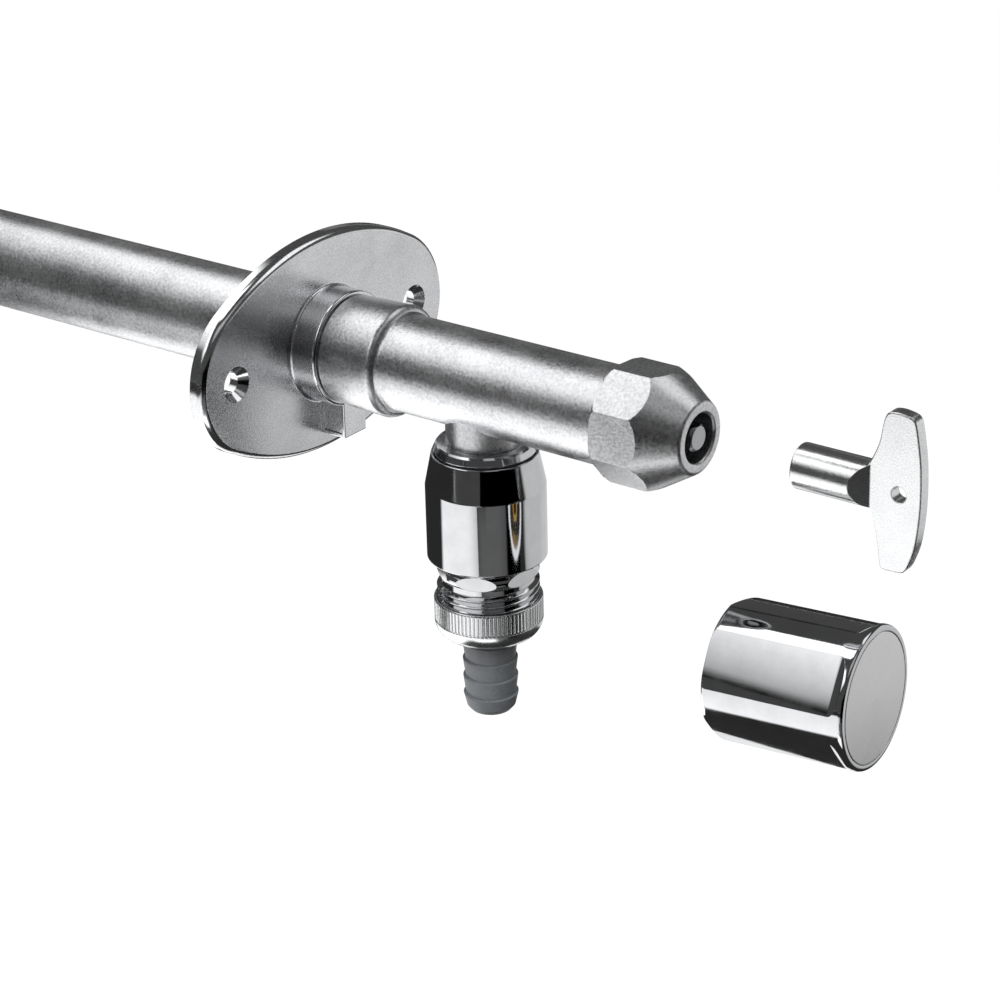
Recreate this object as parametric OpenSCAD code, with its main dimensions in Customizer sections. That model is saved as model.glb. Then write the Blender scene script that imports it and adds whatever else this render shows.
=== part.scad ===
// Frost free sillcock: wall flange, long barrel with the seat at its warm end, octagonal bonnet nut,
// square stem, loose socket key and knob, and a hose outlet with a check valve and a screwed hose tail.
// Frame: tap axis along Y, wall face at Y 0, nose toward -Y, outlet down along -Z. Sizes in mm.

/* [Wall flange] */
// full width of the oval plate
plate_w = 96.3; // [84:0.5:110]
// full height of the oval plate
plate_h = 57.7; // [50:0.2:62]
// plate thickness
plate_t = 4.5; // [3.5:0.1:6]
// rounding of the plate's front rim
rim_round = 2.2; // [1:0.1:3]
// distance between the two screw holes
screw_pitch = 71; // [66:0.5:74]
// through hole for a wall screw
screw_hole_d = 5.3; // [4:0.1:6]
// countersink width at the front face
sink_d = 9.4; // [8:0.1:11]
// collar length in front of the plate
collar_len = 8.1; // [7.4:0.1:10]
// collar wall around the barrel
collar_wall = 1.98; // [1.5:0.02:3]
// width of the clamp lug under the collar
lug_w = 8.6; // [7.6:0.1:11]
// drop of the lug's lower end below the axis
lug_drop = 23.7; // [22:0.1:27]

/* [Barrel] */
// outside diameter of the barrel tube
tube_od = 26.1; // [24:0.1:28]
// wall thickness of the barrel tube
tube_wall = 1.5; // [1:0.1:2]
// length of the barrel behind the wall face
wall_depth = 150; // [120:1:260]

/* [Body] */
// body length from the collar to the bonnet nut
body_len = 84.1; // [80:0.1:96]
// wall around the barrel at the body's rear socket
hub_wall = 1.05; // [0.9:0.05:1.6]
// growth of the socket's wall toward the front
hub_flare = 0.55; // [0:0.05:0.8]
// length of the rear socket
hub_len = 15.6; // [13:0.1:17]
// bore of the body's water chamber
chamber_d = 20; // [18.6:0.1:20.6]
// wall around the water chamber
body_wall = 2.53; // [2.2:0.01:4]

/* [Bonnet nut] */
// width across the flats of the octagon
nut_af = 28.64; // [27:0.02:32]
// length of the octagon
nut_len = 12; // [10:0.1:14]
// length of the cone in front of the octagon
cone_len = 10.5; // [9:0.1:13]
// width of the nose face
nose_d = 17; // [15.5:0.1:19]
// recess around the square stem
recess_d = 12.4; // [12:0.1:13.2]

/* [Stem and seat] */
// shaft diameter
stem_d = 8; // [7.4:0.1:8.6]
// width across the square driving end
square_af = 6; // [5:0.1:6.4]
// major diameter of the lifting thread
lift_thread_d = 10; // [9.6:0.1:10.6]
// lift of the seat washer when fully open
lift = 4; // [3:0.1:4.5]
// bore of the seat
seat_bore_d = 10; // [9:0.1:11]
// diameter of the seat washer
washer_d = 14; // [13.4:0.1:15]
// major diameter of the inlet thread
inlet_thread_d = 20.96; // [20:0.02:22]
// length of the inlet thread
inlet_len = 14; // [12:0.1:20]

/* [Key] */
// gap between the stem's end and the key's open end as shown
key_off = 28.6; // [16:0.1:40]
// outside diameter of the key's barrel
key_barrel_d = 11.2; // [9.8:0.1:11.6]
// length of the key's barrel
key_barrel_len = 14.8; // [14:0.1:20]
// thickness of the key's wing
wing_t = 3.6; // [3:0.1:4.6]
// diameter of the hanging hole in the wing
wing_hole_d = 4; // [3:0.1:5]

/* [Knob] */
// knob diameter
knob_d = 35.6; // [33:0.1:38]
// knob length
knob_len = 37.6; // [36:0.1:46]
// drop of the knob's axis below the tap axis as shown
knob_drop = 54.6; // [45:0.1:70]
// distance of the knob's open end in front of the wall face as shown
knob_ahead = 131.5; // [125:0.5:150]
// turn of the loose knob to its left, as photographed
knob_yaw = 4.7; // [0:0.1:15]
// rise of the loose knob's front
knob_pitch = 1.8; // [0:0.1:10]
// number of finger flats
flat_count = 5; // [3:1:8]
// distance of a finger flat from the knob's axis
flat_at = 16.5; // [16.2:0.1:17]

/* [Outlet] */
// distance of the outlet's axis from the wall face
outlet_ahead = 54.7; // [50:0.1:62]
// diameter of the spigot under the body
spigot_d = 19.6; // [18.6:0.1:21]
// drop of the spigot's shoulder below the axis
spigot_drop = 15.5; // [15:0.1:18]
// diameter of the chrome shroud
shroud_d = 30.8; // [30:0.1:34]
// length of the shroud's cylinder and taper
shroud_len = 28.3; // [27:0.1:32]
// width across the wrench flats under the shroud
wrench_af = 24.4; // [23.8:0.1:25.2]
// major diameter of the hose thread
hose_thread_d = 26.44; // [25.6:0.02:27.4]

/* [Hose union] */
// outside diameter of the knurled nut
union_d = 28.1; // [28:0.1:32]
// height of the knurled nut
union_h = 11; // [10.6:0.1:13]
// diameter over the barbs
barb_d = 14.3; // [13.6:0.1:14.4]
// spacing of the barbs
barb_pitch = 4.95; // [4.2:0.05:5.6]
// bore of the hose tail
tail_bore_d = 8.6; // [7:0.1:9.4]

/* [Clearances] */
// radial clearance of the turning and sliding fits
fit = 0.05; // [0.03:0.01:0.08]
// radial clearance of the barrel in the flange's collar
collar_fit = 0.07; // [0.04:0.01:0.1]

/* [Hidden] */
$fn = 96;
eps = 0.5;
tube_r = tube_od / 2;
tube_ri = tube_r - tube_wall;
collar_r = tube_r + collar_fit + collar_wall;
collar_end = plate_t + collar_len;
body_start = collar_end + 0.3;
body_end = collar_end + 0.3 + body_len;
hub_r1 = tube_r + hub_wall;
hub_r2 = hub_r1 + hub_flare;
hub_end = body_start + hub_len;
socket_len = hub_len - 1.6;
chamber_r = chamber_d / 2;
body_r = chamber_r + body_wall;
nut_r = nut_af / 2 / cos(22.5);
nose_s = body_end + nut_len + cone_len;
nose_r = nose_d / 2;
recess_r = recess_d / 2;
recess_len = 12.5;
spigot_len = 13;
pack_r = 6.5;
pack_front = nose_s - recess_len - 1.4;
stem_r = stem_d / 2;
square_len = 10.5;
tip_gap = 0.5;
tip_s = nose_s - tip_gap;
thread_r = lift_thread_d / 2;
thread_front = pack_front - 9.1;
thread_back = thread_front - 16.5;
lip_y = wall_depth - 18;
lip_h = 2;
seat_r = seat_bore_d / 2;
washer_r = washer_d / 2;
washer_h = 3.1;
head_r = washer_r + 1.05;
head_len = 14.5;
head_y = lip_y - 0.5 - head_len;
swivel_y = head_y + 3.6;
button_y = head_y + 9.2;
neck_r = stem_r - 1.1;
pin_r = 0.95;
pin_z = neck_r + pin_r + 0.12;
guide_r = tube_ri - 0.07;
inlet_r = inlet_thread_d / 2;
key_s = tip_s + key_off;
key_r = key_barrel_d / 2;
key_neck = 2.1;
key_neck_r = 4.8;
key_neck_len = 5.1;
socket_af = square_af + 2 * fit;
knob_r = knob_d / 2;
knob_round = 3;
cap_r = knob_r - knob_round + 0.4;
cap_t = 1.2;
cavity_r = 13;
cavity_len = 12;
insert_r = 5.6;
flat_end = 5.2;
flat_cut_r = 4;
first_flat = -55.5;
y_out = -outlet_ahead;
spigot_r = spigot_d / 2;
neck_thread_r = spigot_r - 1.3;
water_r = neck_thread_r - 2.5;
ring_h = 2.2;
gap_h = 0.5;
shroud_top = spigot_drop + ring_h + gap_h;
shroud_r = shroud_d / 2;
shroud_mid = shroud_top + shroud_len;
bevel_h = 3.5;
collar2_r = 13.1;
shroud_end = shroud_mid + bevel_h + 2;
core_r = shroud_r - 4.05;
core_len = 25.8;
core_end = shroud_top + core_len;
seat_d_top = spigot_drop + 9;
valve_seat_r = 5;
poppet_chamber_r = 8;
poppet_top = seat_d_top + 2.5;
poppet_lift = 4;
guide_bore_r = 1.95;
adapter_r = wrench_af / 2 - 1.3;
hose_r = hose_thread_d / 2;
adapter_end = shroud_end + 9.6;
union_top = shroud_end + 6.1;
union_r = max(union_d / 2, hose_r + fit + 0.75);
gasket_h = 1.8;
flange_h = 2.8;
flange_top = adapter_end + gasket_h;
flange_low = flange_top + flange_h;
union_low = union_top + union_h;
tail_r = barb_d / 2 + 0.13;
barb_r = barb_d / 2;
root_r = barb_r - 0.6;
barb_top = union_low + 1.8;
barb_count = 4;
tail_end = barb_top + barb_pitch * barb_count - 0.1;
flange_r = 11;
wrench_len = 10;

// local Z runs forward along the tap axis from s in front of the wall face
module ahead(s)
    translate([0, -s, 0])
        rotate([90, 0, 0])
            children();

// local Z runs down the outlet axis from d below the tap axis
module below(d)
    translate([0, y_out, -d])
        rotate([180, 0, 0])
            children();

// disc whose front rim is rounded in short cone bands
module rounded_disc(r) {
    bands = 5;
    step = 90 / bands;
    cylinder(h = plate_t - rim_round, r = r);
    for (i = [0 : bands - 1])
        translate([0, 0, plate_t - rim_round + rim_round * sin(step * i)])
            cylinder(h = rim_round * (sin(step * (i + 1)) - sin(step * i)),
                r1 = r - rim_round * (1 - cos(step * i)), r2 = r - rim_round * (1 - cos(step * (i + 1))));
}

// oval plate: two large arcs above and below, two small arcs at the ends, each with the same rounded rim
module oval_plate() {
    a = plate_w / 2;
    b = plate_h / 2;
    r_end = b * 0.73;
    c_end = a - r_end;
    r_big = b * 2.48;
    c_big = r_big - b;
    straight = c_end + r_end * 0.42;
    intersection() {
        translate([0, -c_big, 0])
            rounded_disc(r_big);
        translate([0, c_big, 0])
            rounded_disc(r_big);
        union() {
            translate([-straight, -plate_h, -eps])
                cube([2 * straight, 2 * plate_h, plate_t + 2 * eps]);
            translate([c_end, 0, 0])
                rounded_disc(r_end);
            translate([-c_end, 0, 0])
                rounded_disc(r_end);
        }
    }
}

module screw_hole() {
    translate([0, 0, -eps])
        cylinder(h = plate_t + 2 * eps, d = screw_hole_d);
    translate([0, 0, plate_t - (sink_d - screw_hole_d) / 2])
        cylinder(h = (sink_d - screw_hole_d) / 2 + 0.01, d1 = screw_hole_d, d2 = sink_d + 0.02);
}

// clamp lug under the collar, with round fillets to the plate and a sunk panel on each side
module clamp_lug(lug_len, tall) {
    rib = 1;
    fillet = 1.6;
    difference() {
        union() {
            translate([-lug_w / 2, -plate_t - lug_len, -lug_drop])
                cube([lug_w, lug_len + eps, tall]);
            translate([-lug_w / 2 - fillet, -plate_t - fillet, -lug_drop])
                cube([lug_w + 2 * fillet, fillet + eps, tall]);
        }
        for (side = [-1, 1])
            translate([side * (lug_w / 2 + fillet), -plate_t - fillet, -lug_drop - eps])
                cylinder(h = tall + 2 * eps, r = fillet);
        for (side = [-1, 1])
            translate([side * (lug_w / 2) - 0.4, -plate_t - lug_len + rib, -lug_drop + rib])
                cube([0.8, lug_len - 2 * rib - 1.2, lug_drop - collar_r - rib - 0.4]);
    }
}

module wall_flange() {
    lug_len = collar_len - 0.1;
    screw_s = plate_t + lug_len / 2;
    color("silver")
        difference() {
            union() {
                ahead(0)
                    oval_plate();
                ahead(0)
                    cylinder(h = collar_end - 0.6, r = collar_r);
                ahead(collar_end - 0.6)
                    cylinder(h = 0.6, r1 = collar_r, r2 = collar_r - 0.5);
                clamp_lug(lug_len, lug_drop - tube_r - 0.9);
            }
            ahead(-eps)
                cylinder(h = collar_end + 2 * eps, r = tube_r + collar_fit);
            for (side = [-1, 1])
                translate([side * screw_pitch / 2, 0, 0])
                    ahead(0)
                        screw_hole();
            translate([0, -screw_s, -lug_drop - eps])
                cylinder(h = lug_drop, r = 2.55);
            translate([0, -screw_s, -lug_drop - 0.01])
                cylinder(h = 0.6, r1 = 3.1, r2 = 2.5);
        }
}

module flange_set_screw() {
    screw_s = plate_t + (collar_len - 0.1) / 2;
    top = tube_r;
    long = lug_drop - tube_r - 1.4;
    color("dimgray")
        difference() {
            translate([0, -screw_s, -top - long])
                union() {
                    cylinder(h = 0.5, r1 = 2.1, r2 = 2.5);
                    translate([0, 0, 0.5])
                        cylinder(h = long - 1.3, r = 2.5);
                    translate([0, 0, long - 0.8])
                        cylinder(h = 0.8, r1 = 2.5, r2 = 1.7);
                }
            translate([0, -screw_s, -top - long - 0.01])
                rotate([0, 0, 30])
                    cylinder(h = 3, r = 1.44, $fn = 6);
        }
}

module barrel_tube() {
    front = hub_end - 1.6;
    color("lightgray")
        ahead(-wall_depth)
            rotate_extrude()
                polygon([[tube_ri, 0], [tube_r, 0], [tube_r, wall_depth + front - 0.8],
                    [tube_r - 0.6, wall_depth + front], [tube_ri, wall_depth + front]]);
}

module valve_body() {
    shoulder = 13.0;
    step_r = max(shoulder, body_r + 0.4);
    color("silver")
        difference() {
            union() {
                ahead(0)
                    rotate_extrude()
                        polygon([[tube_r - 3, body_start], [hub_r1 - 0.3, body_start], [hub_r1, body_start + 0.3],
                            [hub_r2, hub_end - 0.6], [hub_r2 - 0.6, hub_end], [step_r, hub_end],
                            [step_r, hub_end + 2.4], [body_r + 0.1, hub_end + 2.8], [body_r, hub_end + 3.2],
                            [body_r, body_end], [chamber_r - 2, body_end], [chamber_r - 2, body_start]]);
                below(0)
                    cylinder(h = spigot_drop, r = spigot_r);
                below(body_r - 0.8)
                    cylinder(h = 1.6, r1 = spigot_r + 1.4, r2 = spigot_r);
                below(spigot_drop - eps)
                    cylinder(h = eps + 7.5, r = neck_thread_r);
                below(spigot_drop + 7.5)
                    cylinder(h = 0.5, r1 = neck_thread_r, r2 = neck_thread_r - 0.5);
            }
            ahead(body_start - eps)
                cylinder(h = socket_len + eps, r = tube_r + 0.02);
            ahead(body_start)
                cylinder(h = body_end - body_start + eps, r = chamber_r);
            below(0)
                cylinder(h = seat_d_top, r = water_r);
        }
}

module seat_body() {
    back = wall_depth + wrench_len;
    color("goldenrod")
        difference() {
            union() {
                ahead(-wall_depth)
                    cylinder(h = wall_depth - lip_y - lip_h, r = tube_ri - fit);
                ahead(-lip_y - lip_h - eps)
                    cylinder(h = lip_h + eps, r = seat_r + 1.5);
                ahead(-back)
                    cylinder(h = wrench_len, r = tube_r);
                ahead(-back - inlet_len)
                    cylinder(h = inlet_len + eps, r = inlet_r);
            }
            ahead(-back - eps)
                difference() {
                    cylinder(h = wrench_len - 2, r = tube_r + 1);
                    translate([-tube_r - 2, -tube_r * 0.84, -1])
                        cube([2 * tube_r + 4, 1.68 * tube_r, wrench_len + 2]);
                    translate([0, 0, -1])
                        cylinder(h = 2, r = inlet_r);
                }
            ahead(-back)
                difference() {
                    translate([0, 0, -1.6])
                        cylinder(h = 1.6, r = inlet_r + 1);
                    translate([0, 0, -2])
                        cylinder(h = 3, r = inlet_r - 1.2);
                }
            ahead(-back - inlet_len - eps)
                cylinder(h = inlet_len + wrench_len + eps, r = inlet_r - 3);
            ahead(-wall_depth - eps)
                cylinder(h = 4, r1 = inlet_r - 3, r2 = seat_r);
            ahead(-wall_depth - 2)
                cylinder(h = 40, r = seat_r);
            ahead(-back - inlet_len - 0.01)
                difference() {
                    cylinder(h = 1, r = inlet_r + 1);
                    translate([0, 0, -0.01])
                        cylinder(h = 1.1, r1 = inlet_r - 1, r2 = inlet_r + 0.1);
                }
        }
}

module bonnet_nut() {
    edge = nut_r - 0.7;
    color("silver")
        difference() {
            union() {
                intersection() {
                    ahead(body_end)
                        rotate([0, 0, -15])
                            rotate([0, 0, 90])
                                cylinder(h = nut_len + cone_len, r = nut_r, $fn = 8);
                    ahead(body_end)
                        rotate_extrude()
                            polygon([[0, 0], [edge, 0], [nut_r + 0.1, 1.2], [nut_r + 0.1, nut_len - 0.6],
                                [nose_r + 0.6, nut_len + cone_len - 0.4], [nose_r, nut_len + cone_len],
                                [0, nut_len + cone_len]]);
                }
                ahead(body_end - spigot_len)
                    cylinder(h = spigot_len + eps, r = chamber_r - fit);
            }
            ahead(nose_s - recess_len)
                cylinder(h = recess_len + eps, r = recess_r);
            ahead(nose_s - 0.5)
                cylinder(h = 0.51, r1 = recess_r, r2 = recess_r + 0.5);
            ahead(body_end - spigot_len - eps)
                cylinder(h = nose_s - body_end + spigot_len, r = stem_r + fit);
            ahead(body_end - spigot_len - eps)
                cylinder(h = pack_front - body_end + spigot_len + eps, r = pack_r);
            ahead(body_end - 5)
                difference() {
                    cylinder(h = 2.2, r = chamber_r + 1);
                    translate([0, 0, -1])
                        cylinder(h = 5, r = chamber_r - 1.6);
                }
        }
}

module bonnet_o_ring() {
    color("black")
        ahead(body_end - 3.9)
            rotate_extrude()
                translate([chamber_r - 0.8, 0])
                    circle(r = 0.79);
}

module stem_bush() {
    color("goldenrod")
        ahead(body_end - spigot_len + 1)
            difference() {
                cylinder(h = pack_front - 4.2 - body_end + spigot_len - 1, r = pack_r - 0.02);
                translate([0, 0, -eps])
                    cylinder(h = pack_front, r = thread_r + fit);
            }
}

module stem_packing() {
    color("black")
        ahead(pack_front - 4.1)
            difference() {
                cylinder(h = 4, r = pack_r - 0.02);
                translate([0, 0, -eps])
                    cylinder(h = 5, r = stem_r + 0.03);
            }
}

module stem_guide() {
    guide_len = 8;
    color("white")
        ahead(-50)
            difference() {
                union() {
                    cylinder(h = guide_len, r = stem_r + 2.2);
                    intersection() {
                        cylinder(h = guide_len, r = tube_ri - fit);
                        for (turn = [0, 120, 240])
                            rotate([0, 0, turn])
                                translate([0, -1.4, 0])
                                    cube([tube_r, 2.8, guide_len]);
                    }
                }
                translate([0, 0, -eps])
                    cylinder(h = guide_len + 2 * eps, r = stem_r + fit);
            }
}

module stem() {
    color("gainsboro")
        union() {
            intersection() {
                ahead(tip_s - square_len)
                    translate([-square_af / 2, -square_af / 2, -eps])
                        cube([square_af, square_af, square_len + eps]);
                ahead(tip_s - square_len)
                    rotate_extrude()
                        polygon([[0, -eps], [square_af * 0.6, -eps], [square_af * 0.6, square_len - 0.7],
                            [square_af * 0.6 - 0.7, square_len], [0, square_len]]);
            }
            ahead(0)
                rotate_extrude()
                    polygon([[0, -swivel_y + 1.1], [neck_r, -swivel_y + 1.1], [neck_r, -swivel_y + 1.11],
                        [stem_r, -swivel_y + 1.11], [stem_r, thread_back - 1], [thread_r, thread_back],
                        [thread_r, thread_front], [stem_r, thread_front + 1], [stem_r, tip_s - square_len - 0.5],
                        [stem_r - 0.5, tip_s - square_len], [0, tip_s - square_len]]);
            ahead(-swivel_y - 1.1)
                cylinder(h = 2.3, r = neck_r);
            ahead(-button_y + 0.2)
                cylinder(h = button_y - 0.2 - swivel_y - 1.1, r = stem_r - 0.02);
        }
}

module valve_head() {
    bore_len = button_y - head_y + 0.2;
    color("goldenrod")
        difference() {
            union() {
                ahead(-head_y - head_len)
                    cylinder(h = head_len, r = head_r);
                intersection() {
                    ahead(-head_y - head_len + 4)
                        cylinder(h = 8, r = guide_r);
                    for (turn = [90, 210, 330])
                        ahead(-head_y - head_len + 4)
                            rotate([0, 0, turn])
                                translate([0, -2, 0])
                                    cube([tube_r, 4, 8]);
                }
            }
            ahead(-head_y - bore_len)
                cylinder(h = bore_len + eps, r = stem_r + fit);
            ahead(-head_y - head_len - eps)
                cylinder(h = washer_h - 0.5 + eps, r = washer_r + 0.05);
            ahead(-head_y - head_len)
                cylinder(h = 5, r = 1.65);
            translate([-tube_r, swivel_y, pin_z])
                rotate([0, 90, 0])
                    cylinder(h = 2 * tube_r, r = pin_r + 0.02);
        }
}

module seat_washer() {
    color("black")
        ahead(-lip_y)
            difference() {
                cylinder(h = washer_h, r = washer_r);
                translate([0, 0, -eps])
                    cylinder(h = washer_h + 2 * eps, r = 1.65);
            }
}

module washer_screw() {
    color("goldenrod")
        difference() {
            union() {
                ahead(-lip_y)
                    cylinder(h = 5.3, r = 1.62);
                ahead(-lip_y - 1.4)
                    cylinder(h = 1.4, r1 = 2.6, r2 = 3.3);
            }
            translate([-4, lip_y + 0.8, -0.4])
                cube([8, 1, 0.8]);
        }
}

module swivel_pin() {
    half = sqrt(head_r * head_r - pin_z * pin_z) - 0.8;
    color("gray")
        translate([-half, swivel_y, pin_z])
            rotate([0, 90, 0])
                cylinder(h = 2 * half, r = pin_r);
}

module socket_key() {
    wing_s = key_s + key_barrel_len + key_neck;
    color("silver")
        difference() {
            union() {
                ahead(key_s)
                    cylinder(h = 0.5, r1 = key_r - 0.4, r2 = key_r);
                ahead(key_s + 0.5)
                    cylinder(h = key_barrel_len - 0.5, r = key_r);
                key_neck_piece();
                translate([-wing_t / 2, 0, 0])
                    rotate([90, 0, 90])
                        linear_extrude(wing_t)
                            polygon([for (q = wing_outline) [-wing_s - q[0], q[1]]]);
            }
            ahead(key_s - eps)
                translate([-socket_af / 2, -socket_af / 2, 0])
                    cube([socket_af, socket_af, 13 + eps]);
            translate([-wing_t, -wing_s - 10, -0.25])
                rotate([0, 90, 0])
                    cylinder(h = 2 * wing_t, d = wing_hole_d);
        }
}

module key_neck_piece() {
    start = key_s + key_barrel_len;
    slant = atan((key_neck_r - wing_t / 2) / (key_neck_len - 0.6));
    difference() {
        ahead(start - eps)
            cylinder(h = key_neck_len, r = key_neck_r);
        for (side = [-1, 1])
            translate([side * (wing_t / 2 - 0.05), -start - key_neck_len, 0])
                rotate([0, 0, -side * slant])
                    translate([side * key_neck_r - key_neck_r, -key_neck_r, -2 * key_neck_r])
                        cube([2 * key_neck_r, 4 * key_neck_r, 4 * key_neck_r]);
    }
}

wing_outline = [[0.63, 4.28], [1.75, 5.35], [4.33, 10.79], [5.36, 15.84], [5.96, 18.08], [6.82, 19.15],
    [8.03, 19.54], [9.92, 19.63], [12.5, 19.15], [13.53, 18.47], [14.05, 17.3], [14.74, 13.61],
    [15.42, 8.75], [15.68, 4.37], [15.77, 0], [15.6, -3.89], [15.25, -7.87], [14.74, -11.47],
    [14.05, -14.29], [12.84, -17.5], [11.81, -19.25], [10.87, -19.73], [8.37, -19.93], [6.14, -19.83],
    [5.36, -18.66], [4.59, -13.41], [2.7, -5.54], [0.63, -4.28]];

module knob_place()
    translate([0, -knob_ahead - knob_len, -knob_drop])
        rotate([-knob_pitch, 0, knob_yaw])
            ahead(-knob_len)
                children();

module finger_flat() {
    run = knob_len - flat_end;
    wide = knob_d;
    translate([-wide / 2, flat_at, -eps])
        cube([wide, knob_r, run - flat_cut_r + eps]);
    translate([-wide / 2, flat_at + flat_cut_r, run - flat_cut_r])
        rotate([0, 90, 0])
            cylinder(h = wide, r = flat_cut_r);
    translate([-wide / 2, flat_at + flat_cut_r, -eps])
        cube([wide, knob_r, run + eps]);
}

module knob_shell() {
    color("silver")
        knob_place()
            difference() {
                rotate_extrude() {
                    square([knob_r - knob_round, knob_len]);
                    translate([0, knob_round])
                        square([knob_r, knob_len - 2 * knob_round]);
                    for (at = [knob_round, knob_len - knob_round])
                        translate([knob_r - knob_round, at])
                            intersection() {
                                circle(r = knob_round);
                                translate([0, -knob_round])
                                    square([knob_round, 2 * knob_round]);
                            }
                }
                for (k = [0 : flat_count - 1])
                    rotate([0, 0, -first_flat + k * 360 / flat_count])
                        finger_flat();
                translate([0, 0, -eps])
                    cylinder(h = cavity_len + eps, r = cavity_r);
                translate([0, 0, cavity_len - eps])
                    cylinder(h = 12, r = insert_r + 0.02);
                translate([0, 0, knob_len - cap_t])
                    cylinder(h = cap_t + eps, r = cap_r + 0.02);
            }
}

module knob_insert() {
    color("goldenrod")
        knob_place()
            difference() {
                translate([0, 0, 1])
                    cylinder(h = cavity_len + 12 - 1.6, r = insert_r);
                translate([-socket_af / 2, -socket_af / 2, 1 - eps])
                    cube([socket_af, socket_af, 12 + eps]);
            }
}

module knob_cap() {
    color("lightgray")
        knob_place()
            translate([0, 0, knob_len - cap_t])
                union() {
                    cylinder(h = cap_t - 0.3, r = cap_r);
                    translate([0, 0, cap_t - 0.3])
                        cylinder(h = 0.3, r1 = cap_r, r2 = cap_r - 0.3);
                }
}

module breaker_ring() {
    out = shroud_r - 2.2;
    color("silver")
        below(spigot_drop)
            rotate_extrude()
                polygon([[neck_thread_r + 0.1, 0], [out - 1.1, 0], [out - 0.7, 0.5], [out, ring_h - 0.2],
                    [out - 0.1, ring_h], [neck_thread_r + 0.1, ring_h]]);
}

module breaker_body() {
    top = spigot_drop + ring_h;
    color("dimgray")
        difference() {
            union() {
                below(top)
                    cylinder(h = gap_h, r = core_r + 1.05);
                below(top + gap_h)
                    cylinder(h = core_len, r = core_r - 0.05);
            }
            below(top - eps)
                cylinder(h = seat_d_top - top + eps, r = neck_thread_r + fit);
            below(seat_d_top - eps)
                cylinder(h = 3 + eps, r = valve_seat_r);
            below(poppet_top)
                cylinder(h = core_len, r = poppet_chamber_r);
        }
}

module spigot_gasket() {
    color("black")
        below(spigot_drop + 8)
            difference() {
                cylinder(h = 1, r = neck_thread_r);
                translate([0, 0, -eps])
                    cylinder(h = 2, r = water_r);
            }
}

module lens_flat() {
    lens_r = 11.5;
    half_h = 2.1;
    translate([wrench_af / 2, 0, 0])
        rotate([0, 90, 0])
            intersection() {
                translate([lens_r - half_h, 0, 0])
                    cylinder(h = 5, r = lens_r);
                translate([half_h - lens_r, 0, 0])
                    cylinder(h = 5, r = lens_r);
            }
}

module outlet_shroud() {
    taper_h = 8.8;
    color("silver")
        difference() {
            below(0)
                rotate_extrude()
                    polygon([[core_r, shroud_top], [shroud_r - 1.8, shroud_top], [shroud_r - 1.6, shroud_top + 0.3],
                        [shroud_r, shroud_top + taper_h], [shroud_r, shroud_mid], [collar2_r, shroud_mid + bevel_h],
                        [collar2_r, shroud_end - 0.4], [collar2_r - 0.4, shroud_end], [adapter_r + 0.05, shroud_end],
                        [adapter_r + 0.05, core_end], [core_r, core_end]]);
            for (k = [0 : 5])
                below(shroud_mid + bevel_h + 0.2)
                    rotate([0, 0, 20 + 60 * k])
                        lens_flat();
        }
}

module check_poppet() {
    color("ivory")
        union() {
            below(poppet_top + 0.02)
                cylinder(h = 1.6, r = 2.95);
            below(poppet_top + 1.5)
                cylinder(h = 1.5, r = 6.9);
            below(poppet_top + 3)
                cylinder(h = 16.5, r = guide_bore_r - fit);
        }
}

module poppet_ring() {
    color("black")
        below(poppet_top + 0.02)
            difference() {
                cylinder(h = 1.48, r = 6.6);
                translate([0, 0, -eps])
                    cylinder(h = 3, r = 2.97);
            }
}

// height of the coil's centre line after the given number of turns, closed at both ends
function coil_z(turn, turns, wire, long) =
    let (climb = wire * 1.04, open_turns = turns - 2, pitch = (long - wire - 2 * climb) / open_turns)
    wire / 2 + climb * min(turn, 1) + pitch * max(0, min(turn - 1, open_turns))
        + climb * max(0, turn - 1 - open_turns);

// one ring of points around the coil's centre line
function coil_ring(turn, turns, mean_r, wire, long, sides) =
    let (a = 360 * turn, lean = (long / turns) / (2 * PI * mean_r), n = sqrt(1 + lean * lean))
    [for (j = [0 : sides - 1])
        let (b = 360 * j / sides, u = wire / 2 * cos(b), v = wire / 2 * sin(b))
        [(mean_r + u) * cos(a) + v * lean / n * sin(a), (mean_r + u) * sin(a) - v * lean / n * cos(a),
            coil_z(turn, turns, wire, long) + v / n]];

module check_spring() {
    turns = 6.5;
    mean_r = 4.6;
    wire = 0.8;
    sides = 8;
    rings = 104;
    top = poppet_top + 3;
    long = core_end - top - 0.04;
    points = [for (i = [0 : rings]) each coil_ring(turns * i / rings, turns, mean_r, wire, long, sides)];
    walls = [for (i = [0 : rings - 1], j = [0 : sides - 1])
        [i * sides + j, i * sides + (j + 1) % sides, (i + 1) * sides + (j + 1) % sides, (i + 1) * sides + j]];
    color("gray")
        below(top + 0.02)
            polyhedron(points, concat(walls, [[for (j = [sides - 1 : -1 : 0]) j]],
                [[for (j = [0 : sides - 1]) rings * sides + j]]), 4);
}

module outlet_adapter() {
    crest = union_top - shroud_end - 2.5;
    color("silver")
        difference() {
            below(0)
                rotate_extrude()
                    polygon([[0, core_end], [adapter_r, core_end], [adapter_r, shroud_end], [hose_r - 1.2, shroud_end],
                        [hose_r - 1.2, shroud_end + 0.2], [hose_r - 0.6, shroud_end + 0.5], [hose_r, shroud_end + 0.9],
                        [hose_r, shroud_end + crest + 0.3], [hose_r - 1.1, shroud_end + crest + 0.6],
                        [hose_r - 1.1, union_top - 0.7], [hose_r, union_top], [hose_r, adapter_end - 0.8],
                        [hose_r - 1, adapter_end], [0, adapter_end]]);
            below(core_end + 1.5)
                cylinder(h = adapter_end, r = poppet_chamber_r);
            below(core_end - eps)
                cylinder(h = 4, r = guide_bore_r);
            for (k = [0 : 7])
                below(core_end - eps)
                    rotate([0, 0, 45 * k])
                        translate([6.4, 0, 0])
                            cylinder(h = 3, r = 1.3);
        }
}

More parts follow.
